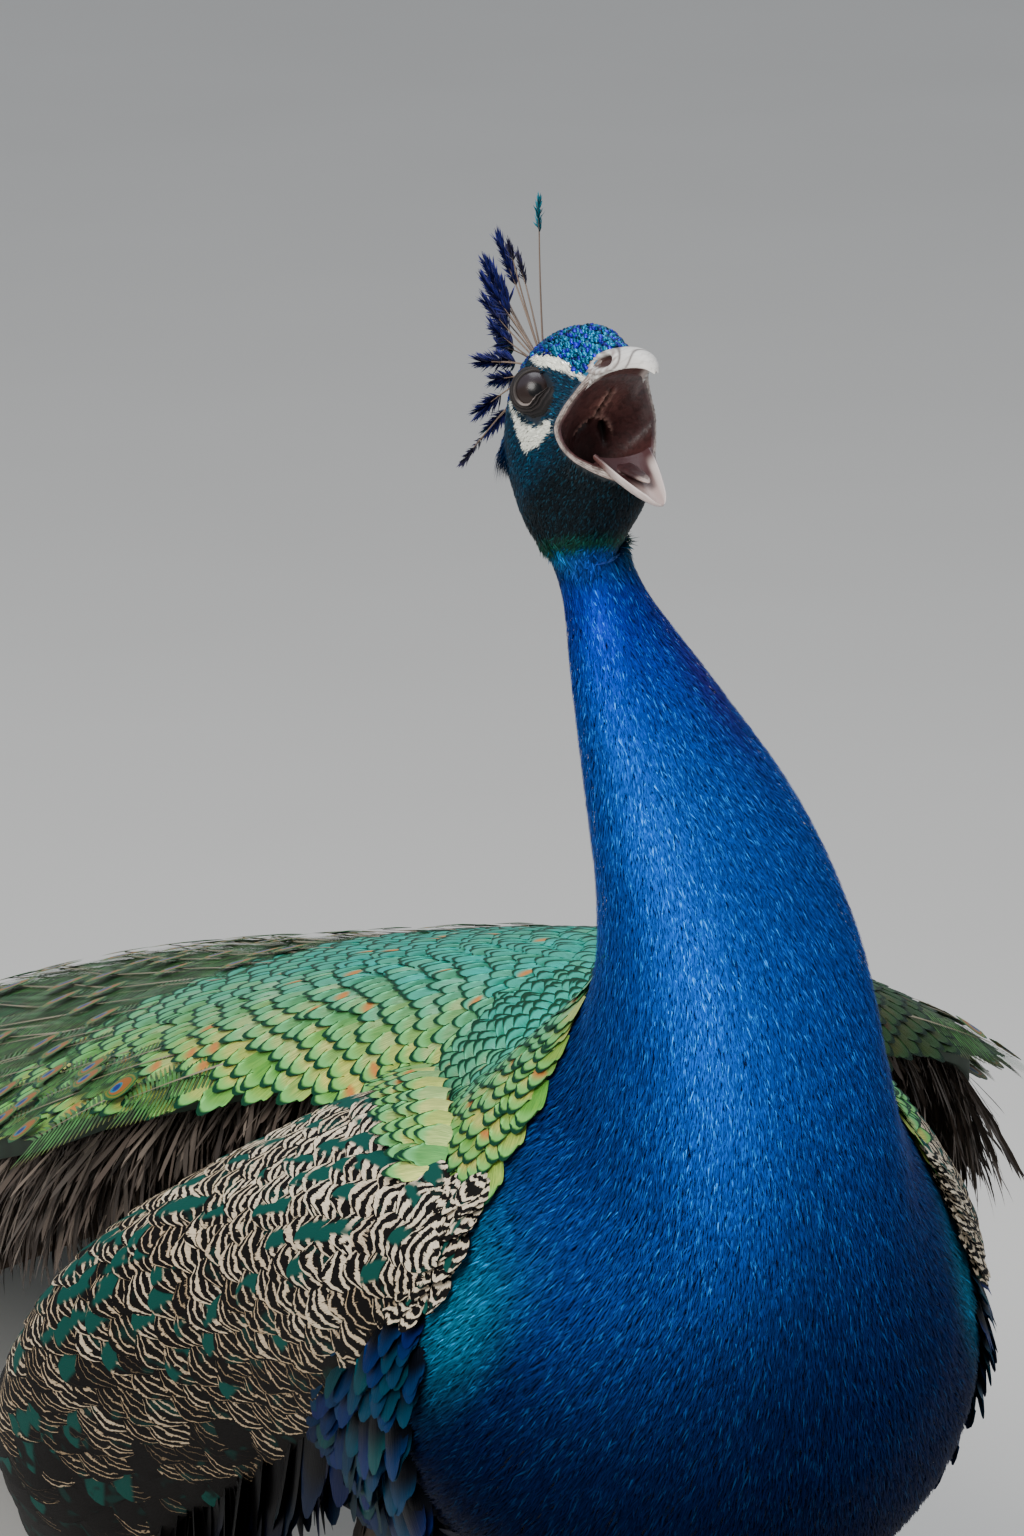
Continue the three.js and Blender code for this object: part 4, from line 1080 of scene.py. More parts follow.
covert = leaf(9, 7, root=0.4, widest=0.45, round_tip=0.22, arch=0.3)
quill = leaf(16, 5, root=0.5, widest=0.3, round_tip=0.12, arch=0.2)
wing_base = clouded_paint("wing underside", (0.03, 0.022, 0.018))
for side, sign in SIDES:
    surface = wing_surface(side)
    for name, span, slot, node in [
        (f"wing_base_{side}", (0.02, QUILLS_FROM - 0.012), "barred_feathers", f"wing_{side}"),
        (f"quill_base_{side}", (QUILLS_FROM + 0.012, 7.0), "rufous_feathers", f"flight_feathers_{side}"),
    ]:
        places = grid(np.linspace(*span, 40), np.linspace(0.02, 0.98, 21))
        slab(name, surface(*places, 0.05), surface(*places, 0.9), wing_base, slot, (node,))
    # quills first, under the coverts: a fan from the wrist to the wing's point
    t, s, size = rows_of_roots(surface, (2.4, 5.9), np.linspace(0.5, 1.0, 31), (42, 60), (22, 22), 0.5)
    n = len(t)
    length = 150 + rng.uniform(-10, 10, n)
    points = drape(surface, t, s, np.full(n, -0.05), length, np.full(n, 26.0), quill, 3.2, -1.0, side=-sign)
    quills = feather_mesh(f"quills_{side}", points, quill, {"tone": rng.random(n)}, side=-sign)
    piece(quills, quill_paint, "rufous_feathers")
    t, s, size = rows_of_roots(surface, (-0.12, 5.4), np.linspace(0.0, 1.0, 31), (6.5, 20), (9, 17), 0.5)
    n = len(t)
    t, s = t + rng.normal(0, 0.02, n), s + rng.normal(0, 0.012, n)
    downward = np.interp(s, [0, 0.5, 1], [0.0, 0.22, 0.4]) * np.interp(t, [0, 3], [0.6, 1.0])
    length = size * 2.7 * rng.uniform(0.9, 1.15, n)
    points = drape(
        surface, t, s, downward + rng.normal(0, 0.06, n), length, size * 1.25 + 4, covert,
        size * 0.2 + 0.6, 0.2, side=-sign,
    )
    share = np.interp(t, [0, 0.8, 3, 5], [0.1, 0.55, 0.5, 0.1])
    share = share * np.interp(s, [0, 0.15, 0.6, 0.9], [0.8, 1.3, 0.6, 0.05])
    gloss = (rng.random(n) < share) * 1.0
    pale = np.clip(1.15 - 0.68 * s - 0.15 * t + rng.normal(0, 0.14, n), 0, 1)
    coverts = feather_mesh(f"coverts_{side}", points, covert, {
        "tone": rng.random(n), "pale": pale, "size": length, "gloss": gloss,
    }, side=-sign)
    piece(coverts, covert_paint, "barred_feathers")


# ---- Bend of each wing: the smallest coverts ----
# The smallest coverts, short and rounded, grow from the skin in front of each wing's bend.
# They lie on the side of the breast itself, and close the step down to it.


def both_sides(t, a):
    """Places on the bird's left, and before them the same ones on its right."""
    return np.concatenate([t, t]), np.concatenate([-a, a])


t, a = scatter(skin_point, (5.35, 6.3), (1.1, 1.85), lambda t, a: 0.09 + 0 * t)
lowest = np.interp(t, [5.35, 5.6, 5.9, 6.1, 6.3], [1.5, 1.56, 1.5, 1.42, 1.36])
shown = (a > np.interp(t, [5.35, 6.3], [1.1, 1.26])) & (a < lowest)
order = np.argsort(t[shown])
t, a = both_sides(t[shown][order], a[shown][order])
n = len(t)
size = rng.uniform(12, 16, n)
heading = math.pi - np.sign(a) * 0.55 + rng.normal(0, 0.1, n)
points = drape(
    skin_point, t, a, heading, size, 9.0 * rng.uniform(0.9, 1.1, n), covert, 3.6, 1.2 + 2.2 * rng.random(n),
)
bend = feather_mesh("coverts_bend", points, covert, {
    "tone": rng.random(n), "pale": np.clip(rng.normal(0.95, 0.12, n), 0, 1), "size": size,
    "gloss": (rng.random(n) < 0.15) * 1.0,
})
piece(bend, covert_paint, "barred_feathers")

# ---- Edge of the mantle over each wing ----
# The outermost of the mantle's scales grow from the side of the back.
# They come down over the upper edge of each wing and hide its roots.
for side, sign in SIDES:
    surface = wing_surface(side)
    t, s, _ = rows_of_roots(surface, (0.7, 2.3), np.linspace(-0.1, 0.02, 31), (6, 7), (7, 8), 0.5)
    shown = s < np.interp(t, [0.7, 1.5, 2.3], [0.02, 0.0, -0.08])
    t, s = t[shown], s[shown]
    n = len(t)
    points = drape(
        surface, t, s, rng.normal(1.05, 0.08, n), 16 * rng.uniform(0.9, 1.1, n), 11.5, scale, 3.4, 1.6,
        side=-sign,
    )
    over = feather_mesh(f"mantle_over_wing_{side}", points, scale, {
        "tone": rng.random(n), "ridge": 0.4 * rng.random(n),
        "spot": (rng.random(n) < 0.1) * 1.0, "shade": 0.0 * t,
    }, side=-sign)
    piece(over, mantle_paint, "scaled_feathers")

# ---- Sides of the breast: rounded dark feathers ----
# Between breast, wing and thigh the blue coat ends in larger rounded feathers, black with a blue-green gloss
# at the tip. They grow from the skin, overlap downwards and back, and hide the edge of the flank.
side_paint = Paint("breast side feathers", Roughness=0.55, Metallic=0.75, Specular_IOR_Level=0.05)
row, column, tone = side_paint.attributes("row", "column", "tone")
hair = side_paint.noise(1.0, 3.0, side_paint.combine(column * 18, row * 2.5, tone * 40))
tip = (row + column * column * 0.1).ramp(0.5, 0.95)
glossy = side_paint.mix(tone, (0.001, 0.02, 0.19), (0.001, 0.11, 0.12))
color = side_paint.mix(tip * (0.35 + hair * 0.65), (0.002, 0.003, 0.006), glossy)
# The depth attribute mixes in near black: painted shade, deepest under wing and cape.
side_paint.set(Base_Color=side_paint.mix(side_paint.attribute("depth") * 0.9, color, (0.003, 0.0025, 0.0025)))
side_paint.bump(hair, 0.4, 0.0004)
rounded = leaf(8, 7, root=0.5, widest=0.5, round_tip=0.3, arch=0.4)
t, a = scatter(skin_point, (2.6, 5.5), (1.2, 2.5), lambda t, a: 0.014 + 0 * t)
lowest = np.interp(t, [2.6, 4.3, 4.9, 5.5], [2.3, 2.2, 1.8, 1.6])
shown = (a > np.interp(t, [2.6, 4.6, 5.4], [1.35, 1.3, 1.5])) & (a < lowest)
t, a = both_sides(t[shown], a[shown])
n = len(t)
size = np.interp(t, [2.9, 4.4, 5.5], [52, 42, 16]) * rng.uniform(0.85, 1.15, n)
points = drape(
    skin_point, t, a, math.pi - np.sign(a) * 1.1 + rng.normal(0, 0.14, n), size, size * 0.6, rounded,
    np.interp(t, [2.9, 4.4, 5.5], [24, 17, 3]), 0.5,
)
# Those further back, deeper under wing and cape, get more painted shade.
sides = feather_mesh("breast_sides", points, rounded, {
    "tone": np.clip(rng.normal(0.4, 0.3, n), 0, 1), "depth": 1 - smooth_step(3.4, 5.0, t),
})
piece(sides, side_paint, "dark_feathers")

# ---- Feathers hanging under each wing ----
# Longer feathers of the same kind grow from the underside of each wing near its lower edge.
# They hang down loosely and close the flank.
HANGING = 150  # on each side
for side, sign in SIDES:
    n = HANGING
    t, s = rng.uniform(0.5, 3.4, n), rng.uniform(0.86, 0.99, n)
    roots = wing_surface(side)(t, s, 0.75)
    lie = unit(np.stack([-sign * rng.uniform(0.0, 0.35, n), rng.normal(0.35, 0.12, n), -np.ones(n)], -1))
    outward = square_to(np.stack([sign * np.ones(n), rng.normal(0, 0.2, n), 0 * t], -1), lie)
    size = rng.uniform(46, 66, n)
    points = stand(rounded, roots, outward, lie, size, size * 0.42, 3.0)
    # Those further back along the wing get more painted shade.
    hanging = feather_mesh(f"under_wing_{side}", points, rounded, {
        "tone": np.clip(rng.normal(0.3, 0.3, n), 0, 1), "depth": np.clip(0.3 + 0.3 * t, 0, 1),
    })
    piece(hanging, side_paint, "dark_feathers")

# ---- Down under the edges of cape and train ----
# Each long covert has a soft brown-grey aftershaft at its foot; together they hang as a loose curtain below
# the sheet, deepest over the flanks and shorter towards the tail.
DOWN_PLUMES = 16000
n = DOWN_PLUMES
t = rng.uniform(0.9, 6.6, n)
edge_side = np.where(rng.random(n) < 0.5, -1, 1)
q = edge_side * (1 - 0.5 * rng.random(n) ** 1.3)
roots = train_point(t, q * 0.97, 0.9)
lie = unit(np.stack([edge_side * rng.normal(0.1, 0.22, n), rng.normal(0.32, 0.25, n), -np.ones(n)], -1))
outward = square_to(np.stack([edge_side, rng.normal(0, 0.4, n), 0.25 + 0 * t], -1), lie)
length = np.interp(t, [0.9, 1.6, 2.6, 4.6, 6.6], [14, 30, 56, 62, 30]) * rng.uniform(0.45, 1.15, n)
tint = blend((0.06, 0.042, 0.032), (0.19, 0.15, 0.12), rng.random(n) ** 2.5)
tint = tint * rng.uniform(0.35, 1.2, n)[:, None]
points = stand(PLUME, roots, outward, lie, length, rng.uniform(1.2, 3.4, n), length * 0.12)
down = tufts("edge_down", points, PLUME, tint, np.c_[t / 7, q / 2.1 + 0.5])
piece(down, plume_paint, "dark_feathers")

# ---- Train: long loose feathers with eyes ----
# Each has a pale shaft with open green-bronze barbs, and most end in an eye of gold, bronze and blue. They
# lie in staggered rows over the base, shorter in front, and the last ones end in open forks on the floor.
SHAFTED_BARBS = 26  # on each side of a shaft
BARB_STRIP = [
    (0.0, 0.0, 0.012), (0.45, 0.5, 0.013), (0.85, 0.86, 0.009), (1.0, 1.0, 0.003),
]  # share of its sweep, share of its reach and half width of a barb, from root to tip


def barbed(pairs=SHAFTED_BARBS, sweep=0.42):
    """A shaft with loose barbs: each barb a narrow strip set off sideways and swept towards the tip, its
    reach the root of a sine of its place along the shaft."""
    points, quads = [], []
    for side in (-1, 1):
        for at in np.linspace(0.02, 0.93, pairs):
            reach = math.sin(math.pi * min(at * 0.62 + 0.3, 1.0)) ** 0.5
            bend = sweep * (0.35 + 0.3 * at) * 0.6
            base = len(points)
            for along, out, wide in BARB_STRIP:
                for edge in (-1, 1):
                    u = at + bend * along**1.2 + edge * wide
                    points.append([u, side * out * reach, at - 0.12 * out, at, side * out])
            step = [[base + j, base + j + 1, base + j + 3, base + j + 2] for j in (0, 2, 4)]
            quads += step if side < 0 else [q[::-1] for q in step]
    keys = ("u", "v", "h", "row", "column")
    return {**dict(zip(keys, np.array(points).T)), "faces": [np.array(quads)[:, ::-1]]}


def strip(rows, width=0.045):
    """A bare shaft: a long strip, a little raised along its middle and narrower at its tip."""
    i, j = grid(np.linspace(0, 1, rows), [-1.0, 0.0, 1.0])
    return {
        "u": i.ravel(), "v": (j * width * (1.15 - i)).ravel(), "h": (i + 0.06 * (1 - np.abs(j))).ravel(),
        "row": i.ravel(), "column": j.ravel(), "faces": [grid_faces(rows, 3)],
    }


train_paint = Paint("train barbs", Roughness=0.45, Metallic=0.3)
row, column, tone = train_paint.attributes("row", "column", "tone")
sheen = train_paint.noise(1.0, 2.0, train_paint.combine(row * 30, column * 2, tone * 50))
green = train_paint.mix(tone, (0.02, 0.16, 0.05), (0.09, 0.3, 0.06))
green = train_paint.mix(sheen.ramp(0.35, 0.7), (0.03, 0.06, 0.02), green)
barb_end = (column * column).ramp(0.5, 1.0) * 0.6
train_paint.set(Base_Color=train_paint.mix(barb_end, green, (0.16, 0.12, 0.03)))
shaft_paint = Paint("pale shafts", Roughness=0.5)
row = shaft_paint.attribute("row")
shaft_paint.set(Base_Color=shaft_paint.mix(row, (0.26, 0.22, 0.15), (0.12, 0.1, 0.05)))

eye_paint = Paint("train eyes", Roughness=0.4, Metallic=0.5, Specular_IOR_Level=0.2)
row, column, tone = eye_paint.attributes("row", "column", "tone")
fine = eye_paint.noise(1.0, 3.0, eye_paint.combine(column * 14, row * 3, tone * 30))
across2 = column * column
radius = ((row - 0.5) * (row - 0.5) * 4 + across2).math("SQRT") + (fine - 0.5) * 0.06
blue_at = ((row - 0.62) * (row - 0.62) * 26 + across2 * 5.2).math("SQRT")
notch = ((row - 0.78) * (row - 0.78) * 60 + across2 * 14).math("SQRT")
color = eye_paint.mix(radius.ramp(0.88, 0.97), (0.2, 0.2, 0.02), (0.015, 0.11, 0.03))
color = eye_paint.mix(1 - radius.ramp(0.74, 0.8), color, (0.02, 0.17, 0.04))
color = eye_paint.mix(1 - radius.ramp(0.64, 0.7), color, (0.36, 0.12, 0.015))
color = eye_paint.mix(1 - blue_at.ramp(0.86, 0.96), color, (0.002, 0.2, 0.3))
color = eye_paint.mix((1 - blue_at.ramp(0.56, 0.66)) * notch.ramp(0.5, 0.7), color, (0.003, 0.012, 0.2))
color = eye_paint.mix(fine.ramp(0.55, 0.8) * 0.45, color, (0.02, 0.06, 0.02))
eye_paint.set(Base_Color=color)
eye_paint.bump(fine, 0.4, 0.0004)

disc = leaf(11, 9, root=0.12, widest=0.5, round_tip=0.0)
disc["v"] = disc["column"] * np.sqrt(np.clip(1 - (2 * disc["row"] - 1) ** 2, 0.0004, 1))
disc["h"] = 1 - 0.3 * disc["column"] ** 2
t, q, _ = rows_of_roots(train_point, (3.35, 9.75), np.linspace(-0.96, 0.96, 41), (30, 70), (34, 52))
n = len(t)
t, q = t + rng.normal(0, 0.05, n), np.clip(q + rng.normal(0, 0.02, n), -1, 1)
length = np.interp(t, [3.3, 4.2, 6, 9.7], [70, 120, 190, 160]) * rng.uniform(0.85, 1.15, n)
width = np.interp(t, [3.3, 4.5, 7, 9.7], [34, 52, 70, 74]) * rng.uniform(0.9, 1.1, n)
heading = q * np.interp(t, [3.3, 5, 8, 9.7], [0.45, 0.22, 0.1, 0.3]) + rng.normal(0, 0.05, n)
# a few shorter ones come out at the cape's edges, over the scales
EDGE_T = [1.55, 1.95, 2.2, 2.5, 2.8, 3.1, 2.05, 2.65, 3.2]
EDGE_Q = [0.93, 0.95, 0.8, 0.93, 0.78, 0.92, 0.86, 0.86, 0.83]
edge_t, edge_q = both_sides(np.array(EDGE_T), np.array(EDGE_Q))
edge_n = len(edge_t)
t, q = np.concatenate([t, edge_t + rng.normal(0, 0.03, edge_n)]), np.concatenate([q, edge_q])
length = np.concatenate([length, rng.uniform(46, 62, edge_n)])
width = np.concatenate([width, rng.uniform(24, 30, edge_n)])
heading = np.concatenate([heading, edge_q * rng.uniform(0.3, 0.6, edge_n)])
n = len(t)
tone = rng.random(n)
lift = np.interp(t, [1.5, 3.3, 5, 9.7], [4, 3, 6, 6])
for name, template, reach, paint, start in [
    ("train_barbs", barbed(), 1.0, train_paint, 0.5),
    ("train_shafts", strip(7), 0.9, shaft_paint, 1.0),
]:
    points = drape(train_point, t, q, heading, length * reach, width, template, lift, start, side=-1)
    points[..., 2] = np.maximum(points[..., 2], 0.8)
    piece(feather_mesh(name, points, template, {"tone": tone}, side=-1), paint, "train_feathers")
eyed = ((rng.random(n) < 0.82) | (t < 3.3)) & (t < 9.4)
eye_length = np.interp(t, [1.5, 3.3, 4.5, 7, 9.7], [17, 20, 26, 38, 42])
step = 0.01
per = np.linalg.norm(train_point(t + step, q) - train_point(t, q), axis=-1) / step
eye_t = t + (length * 0.74) / per
eye_q = q + heading * (length * 0.74) / np.interp(t, [3, 10], [210, 150])
points = drape(
    train_point, eye_t[eyed], eye_q[eyed], heading[eyed], eye_length[eyed], eye_length[eyed] * 0.8, disc, 0.8,
    (lift + 0.8)[eyed], side=-1,
)
points[..., 2] = np.maximum(points[..., 2], 1.2)
eyes = feather_mesh("train_eyes", points, disc, {"tone": tone[eyed]}, side=-1)
piece(eyes, eye_paint, "train_feathers")

# ---- Head coat: velvet, white marks and the beaded crown ----
# Very short feathers grow from the skin and lie back from the bill; those of the crown are small stiff round
# scales, each catching the light. None grow on the bare skin round the eye, and a tuft of longer ones hides
# the ear.
t, a = scatter(
    skin_point, (13.3, HEAD_END - 0.12), (0, TURN), lambda t, a: np.full(t.shape, 3.4), cells=(90, 90),
)
p, out, along, _ = skin_frame(t, a)
x, _, z = ((p - GAPE) @ SKULL.T).T
bare = in_outline(x, z, BARE_PATCH, 1.0)
keep = (rng.random(len(t)) > bare * 1.2) & ((z < brow_height(x)) | (x < -34))
t, a, p, out, along, x, z = (v[keep] for v in (t, a, p, out, along, x, z))
n = len(t)
ear = np.exp(-(((x + 41) / 3.5) ** 2) - ((z - 7) / 5) ** 2)
white = white_marks(x, z)
tone = np.clip(rng.normal(0, 1, n), -2, 2.4) * (1 - 0.75 * white)
color = head_color(p) * (np.exp(0.45 * tone) * (0.78 + 0.22 * white))[:, None]
height = collar_rise(p)
color = blend(coat_color(t, a) * np.exp(0.5 * tone)[:, None], color, smooth_step(-1.5, 3.5, height))
teal_glint = ((rng.random(n) < 0.16) & (white < 0.1))[:, None]
color = np.where(teal_glint, color * 1.8 + (0.0, 0.016, 0.026), color)
color = blend(color, (0.006, 0.035, 0.16), 0.8 * ear)
length = np.interp(t, [13.3, 15, 17, 20], [4.0, 3.4, 2.8, 2.0]) * rng.uniform(0.75, 1.25, n)
length = length * (1 + 2.6 * ear + 0.9 * (height < 1))
points = stand(
    STROKE, p - out * 0.4, out, turned(-along, out, rng.normal(0, 0.28, n)), length,
    np.interp(t, [13.3, 20], [0.62, 0.5]), 0.35 + 0.5 * rng.random(n) + 5.5 * ear,
)
velvet_paint = tint_paint("head velvet", Roughness=0.55, Metallic=0.3, Specular_IOR_Level=0.15)
piece(tufts("head_coat", points, STROKE, color, skin_place(t, a)), velvet_paint, "head_feathers")

bead = leaf(5, 5, root=0.6, widest=0.5, round_tip=0.25, arch=0.0)
bead["h"] = (1 - (2 * bead["row"] - 1) ** 2 * 0.7) * (1 - 0.8 * bead["column"] ** 2)
t, a = scatter(
    skin_point, (14.0, HEAD_END - 0.1), (-1.25, 1.25), lambda t, a: np.full(t.shape, 0.62), cells=(60, 60),
)
p, out, along, _ = skin_frame(t, a)
x, _, z = ((p - GAPE) @ SKULL.T).T
keep = (z > brow_height(x) - 0.3) & (x > -37)
t, a, p, out, along = (v[keep] for v in (t, a, p, out, along))
n = len(t)
color = head_color(p)
patch = rng.random(n)
color = np.where((patch < 0.27)[:, None], (0.014, 0.014, 0.34), color)
color = np.where((patch > 0.78)[:, None], (0.003, 0.15, 0.26), color) * rng.uniform(0.15, 1.7, n)[:, None]
points = stand(
    bead, p - out * 0.15, out, turned(-along, out, rng.normal(0, 0.3, n)), rng.uniform(2.1, 2.9, n),
    rng.uniform(1.4, 1.9, n), rng.uniform(0.7, 1.15, n),
)
crown_paint = tint_paint("crown beads", Roughness=0.35, Metallic=0.8, Specular_IOR_Level=0.3)
piece(tufts("crown_beads", points, bead, color, skin_place(t, a)), crown_paint, "head_feathers")

# ---- Eyes and lids ----
# A dark wet ball sits in each socket: black pupil, brown iris, and a paler greyed cap where the sky's light
# lies on it. Wrinkled bare skin hugs it; the lower lid is half drawn up, its pale margin running up to the
# front corner.
LID_OPENING = [
    (0, 48), (25, 52), (50, 49), (90, 42), (135, 38), (180, 38), (225, 38), (250, 33), (270, 24),
    (300, 20), (325, 25), (345, 36),
]  # round angle from the front and half opening off the gaze axis, in degrees
ROUND, RINGS = 96, 40
turn = full_turn(ROUND)
keys = np.radians(np.array(LID_OPENING, float))
opening = np.interp(turn, keys[:, 0], keys[:, 1], period=TURN)
outer = np.stack([
    np.interp(turn, outer_round[round_order], line, period=TURN) for line in lid_outer[round_order].T
], -1)
w = np.r_[0, 0, np.linspace(0.015, 1, RINGS - 2)][:, None]
rim_direction = GAZE * np.cos(opening)[:, None] + (
    LID_FRONT * np.cos(turn)[:, None] + LID_UP * np.sin(turn)[:, None]
) * np.sin(opening)[:, None]
reach = np.linalg.norm(outer - EYE, axis=-1)
direction = unit(rim_direction[None] * (1 - w[..., None]) + unit(outer - EYE)[None] * w[..., None])
lower = np.clip(-np.sin(turn + 0.5), 0, 1) ** 0.5
waves = np.sin(w * 30 + 2.2 * np.sin(turn * 2 + 1) + 0.8 * np.sin(turn * 5))
folds = 0.26 * waves * np.sin(math.pi * w) ** 0.7
radius = EYE_RADIUS + 0.55 + (0.5 * lower + 0.2) * np.exp(-(((w - 0.06) / 0.05) ** 2)) + folds
radius = radius + (reach - 0.25 - EYE_RADIUS - 0.55) * smooth_step(0.25 + 0.2 * lower, 1, w)
radius[0] = EYE_RADIUS - 0.5
radius[1] = EYE_RADIUS + 0.3
lids = EYE + direction * radius[..., None]
# The lid skin is painted lighter on the crests of its folds, most on the lower lid near its rim, and darker
# in their troughs: painted highlight and painted shade.
crease = waves * 0.5 + 0.5
fold_shading = crease * (1 - smooth_step(0.45, 0.95, w)) * 0.8 + 0.1
tint = blend((0.002, 0.002, 0.002), (0.026, 0.02, 0.02), fold_shading)
tint = blend(tint, (0.032, 0.025, 0.024), 0.7 * lower * (1 - smooth_step(0.1, 0.55, w)) * crease)
below = smooth_step(0.5, 0.95, np.clip(-np.sin(turn + 0.35), 0, 1))
margin = (1 - smooth_step(0.02, 0.06, w)) * (0.12 + 0.88 * below)
tint = blend(tint, (0.26, 0.22, 0.2), margin * 0.85)
tint = blend(tint, (0.006, 0.006, 0.008), smooth_step(0.55, 1.0, w) * smooth_step(-0.2, 0.5, np.sin(turn)))
lid_paint = tint_paint("bare eye skin", Roughness=0.6, Specular_IOR_Level=0.25)
lid_paint.bump(lid_paint.noise(900.0, 3.0), 0.35, 0.0003)
ball_paint = tint_paint("eye", Roughness=0.26, Specular_IOR_Level=0.3)
BALL_RINGS, BALL_ROUND = 49, 64
u, v = grid(np.linspace(0, math.pi, BALL_RINGS), full_turn(BALL_ROUND))
off_axis = GAZE * np.cos(u)[..., None] + (
    LID_FRONT * np.cos(v)[..., None] + LID_UP * np.sin(v)[..., None]
) * np.sin(u)[..., None]
center = unit(GAZE + 0.22 * LID_FRONT - 0.12 * LID_UP)
off = np.degrees(np.arccos(np.clip(off_axis @ center, -1, 1)))
ball_tint = blend((0.002, 0.0015, 0.002), (0.02, 0.012, 0.01), smooth_step(15, 18, off))
cap = smooth_step(0.02, 0.3, off_axis @ LID_UP + 0.12 * (off_axis @ LID_FRONT))
ball_tint = blend(ball_tint, (0.03, 0.024, 0.029), 0.8 * cap * smooth_step(12, 26, off))
ball_tint = blend(ball_tint, (0.012, 0.01, 0.011), smooth_step(46, 54, off))
lid_places = np.stack(grid(np.linspace(0, 1, RINGS), np.linspace(0, 1, ROUND)), -1)
for word, mirror in (("right", 1), ("left", -1)):
    flip = np.array([1, mirror, 1])
    lid = new_mesh(
        f"lids_{word}", from_skull(lids * flip), grid_faces(RINGS, ROUND, closed=True)[:, ::-mirror],
        {"tint": tint}, uv=lid_places,
    )
    piece(lid, lid_paint, "head_feathers")
    ball = new_mesh(
        f"eyeball_{word}", from_skull((EYE + off_axis * EYE_RADIUS) * flip),
        grid_faces(BALL_RINGS, BALL_ROUND, closed=True)[:, ::-mirror], {"tint": ball_tint},
        uv=np.stack([u / math.pi, v / 7], -1),
    )
    piece(ball, ball_paint, "eye", f"eye_{word}")

# ---- Mouth: the pale lip, the red-brown lining and the tongue ----
# A fleshy lip of bare skin rolls over the edge of both jaws from the nostrils round the corner of the gape
# to the chin. Inside, the palate is split by a slit with a ragged edge, and two pits lie behind it.
MOUTH_LINE = np.array([
    [19, 0, 12.6], [19, 5, 12.4], [18, 9.8, 11.8], [12.5, 13.2, 9.6], [7.2, 16.8, 5], [3, 19.2, 0.6],
    [1.9, 18.6, -5], [3.2, 15.8, -10.6], [6.5, 11, -15.5], [8.6, 5.5, -18], [9, 0, -18.8],
])
LIP_ROUND, LIP_ROWS, LINING_ROWS = 240, 22, 60
s = np.linspace(0, 2, LIP_ROUND, endpoint=False)
half = (1 - np.abs(1 - s)) * (len(JAW_LINE) - 1)
side = np.where(s < 1, 1, -1)[:, None] * [0, 1, 0] + [1, 0, 1]
feather_edge, mouth_edge = catmull(JAW_LINE, half) * side, catmull(MOUTH_LINE, half) * side
w = np.linspace(0, 1, LIP_ROWS)[:, None, None]
middle = (feather_edge + mouth_edge) / 2
outward = unit(np.stack([0.35 + 0 * half, middle[:, 1] * 0.05, 0 * half], -1))
corner = np.exp(-(((half - 5.2) / 1.4) ** 2))
roll = (0.75 + 0.35 * corner)[None, :, None] * np.sin(math.pi * w) ** 0.6
grooves = 0.2 * np.sin(w[..., 0] * 26 + np.sin(half * 2.3)) + 0.12 * np.sin(half * 21 + w[..., 0] * 9)
lip = feather_edge * (1 - w) + mouth_edge * w + outward * (roll + grooves[..., None] * np.sin(math.pi * w))
lip[0] -= outward * 1.2
pale = np.exp(-(((w[..., 0] - 0.42) / 0.3) ** 2))
wrinkle = np.sin(w[..., 0] * 26 + np.sin(half * 2.3)) * np.sin(half * 9 + 3 * w[..., 0])
lip_tint = blend((0.12, 0.075, 0.065), (0.62, 0.54, 0.49), pale * (0.62 + 0.38 * wrinkle))
lip_tint = blend(lip_tint, (0.07, 0.022, 0.024), smooth_step(0.68, 1.0, w[..., 0] + 0 * half))
rings = [mouth_edge]
b = half / (len(JAW_LINE) - 1) * math.pi * np.where(s < 1, 1, -1)
for x, z, wide, high in [(-8, -7, 12, 9.5), (-18, -12, 6, 5), (-22, -13, 0, 0)]:
    rings.append(np.stack([x + 0 * b, wide * np.sin(b), z + high * np.cos(b)], -1))
lining = catmull(np.array(rings).reshape(len(rings), -1), np.linspace(0, len(rings) - 1, LINING_ROWS))
lining = lining.reshape(LINING_ROWS, LIP_ROUND, 3)
x, y, z = np.moveaxis(lining, -1, 0)
roof = smooth_step(-9, -4, z) * smooth_step(-16, -6, x)
wobble = y + 0.35 * np.sin(x * 1.7)
slit = np.exp(-((wobble / (0.45 + 0.03 * (12 - x).clip(0, 20))) ** 2)) * (z > -2)
slit = slit * smooth_step(-3.5, -1.5, x) * smooth_step(12.5, 11, x)
pits = np.exp(-(((np.abs(y - 1.2) - 4.3) / 2.3) ** 4) - ((x + 5.6 + 0.12 * y * y) / 2.3) ** 4) * (z > -4)
ragged = 0.5 + 0.5 * np.sin(y * 3.1 + np.sin(x * 2.3) * 1.4)
fringe = np.exp(-(((x + 2.4 + 0.07 * y * y + 0.7 * ragged) / 0.8) ** 2)) * (z > -2)
fringe = fringe * smooth_step(9.5, 7, np.abs(y))
flaps = np.exp(-(((np.abs(wobble) - 1.5) / 0.7) ** 2)) * (z > -2)
flaps = flaps * smooth_step(-3, -1, x) * smooth_step(13, 10, x)
ridge = np.maximum(fringe, 0.8 * flaps)
lining[..., 2] += slit * 1.4 + pits * 2.4 - ridge * (0.5 + 0.5 * ragged)
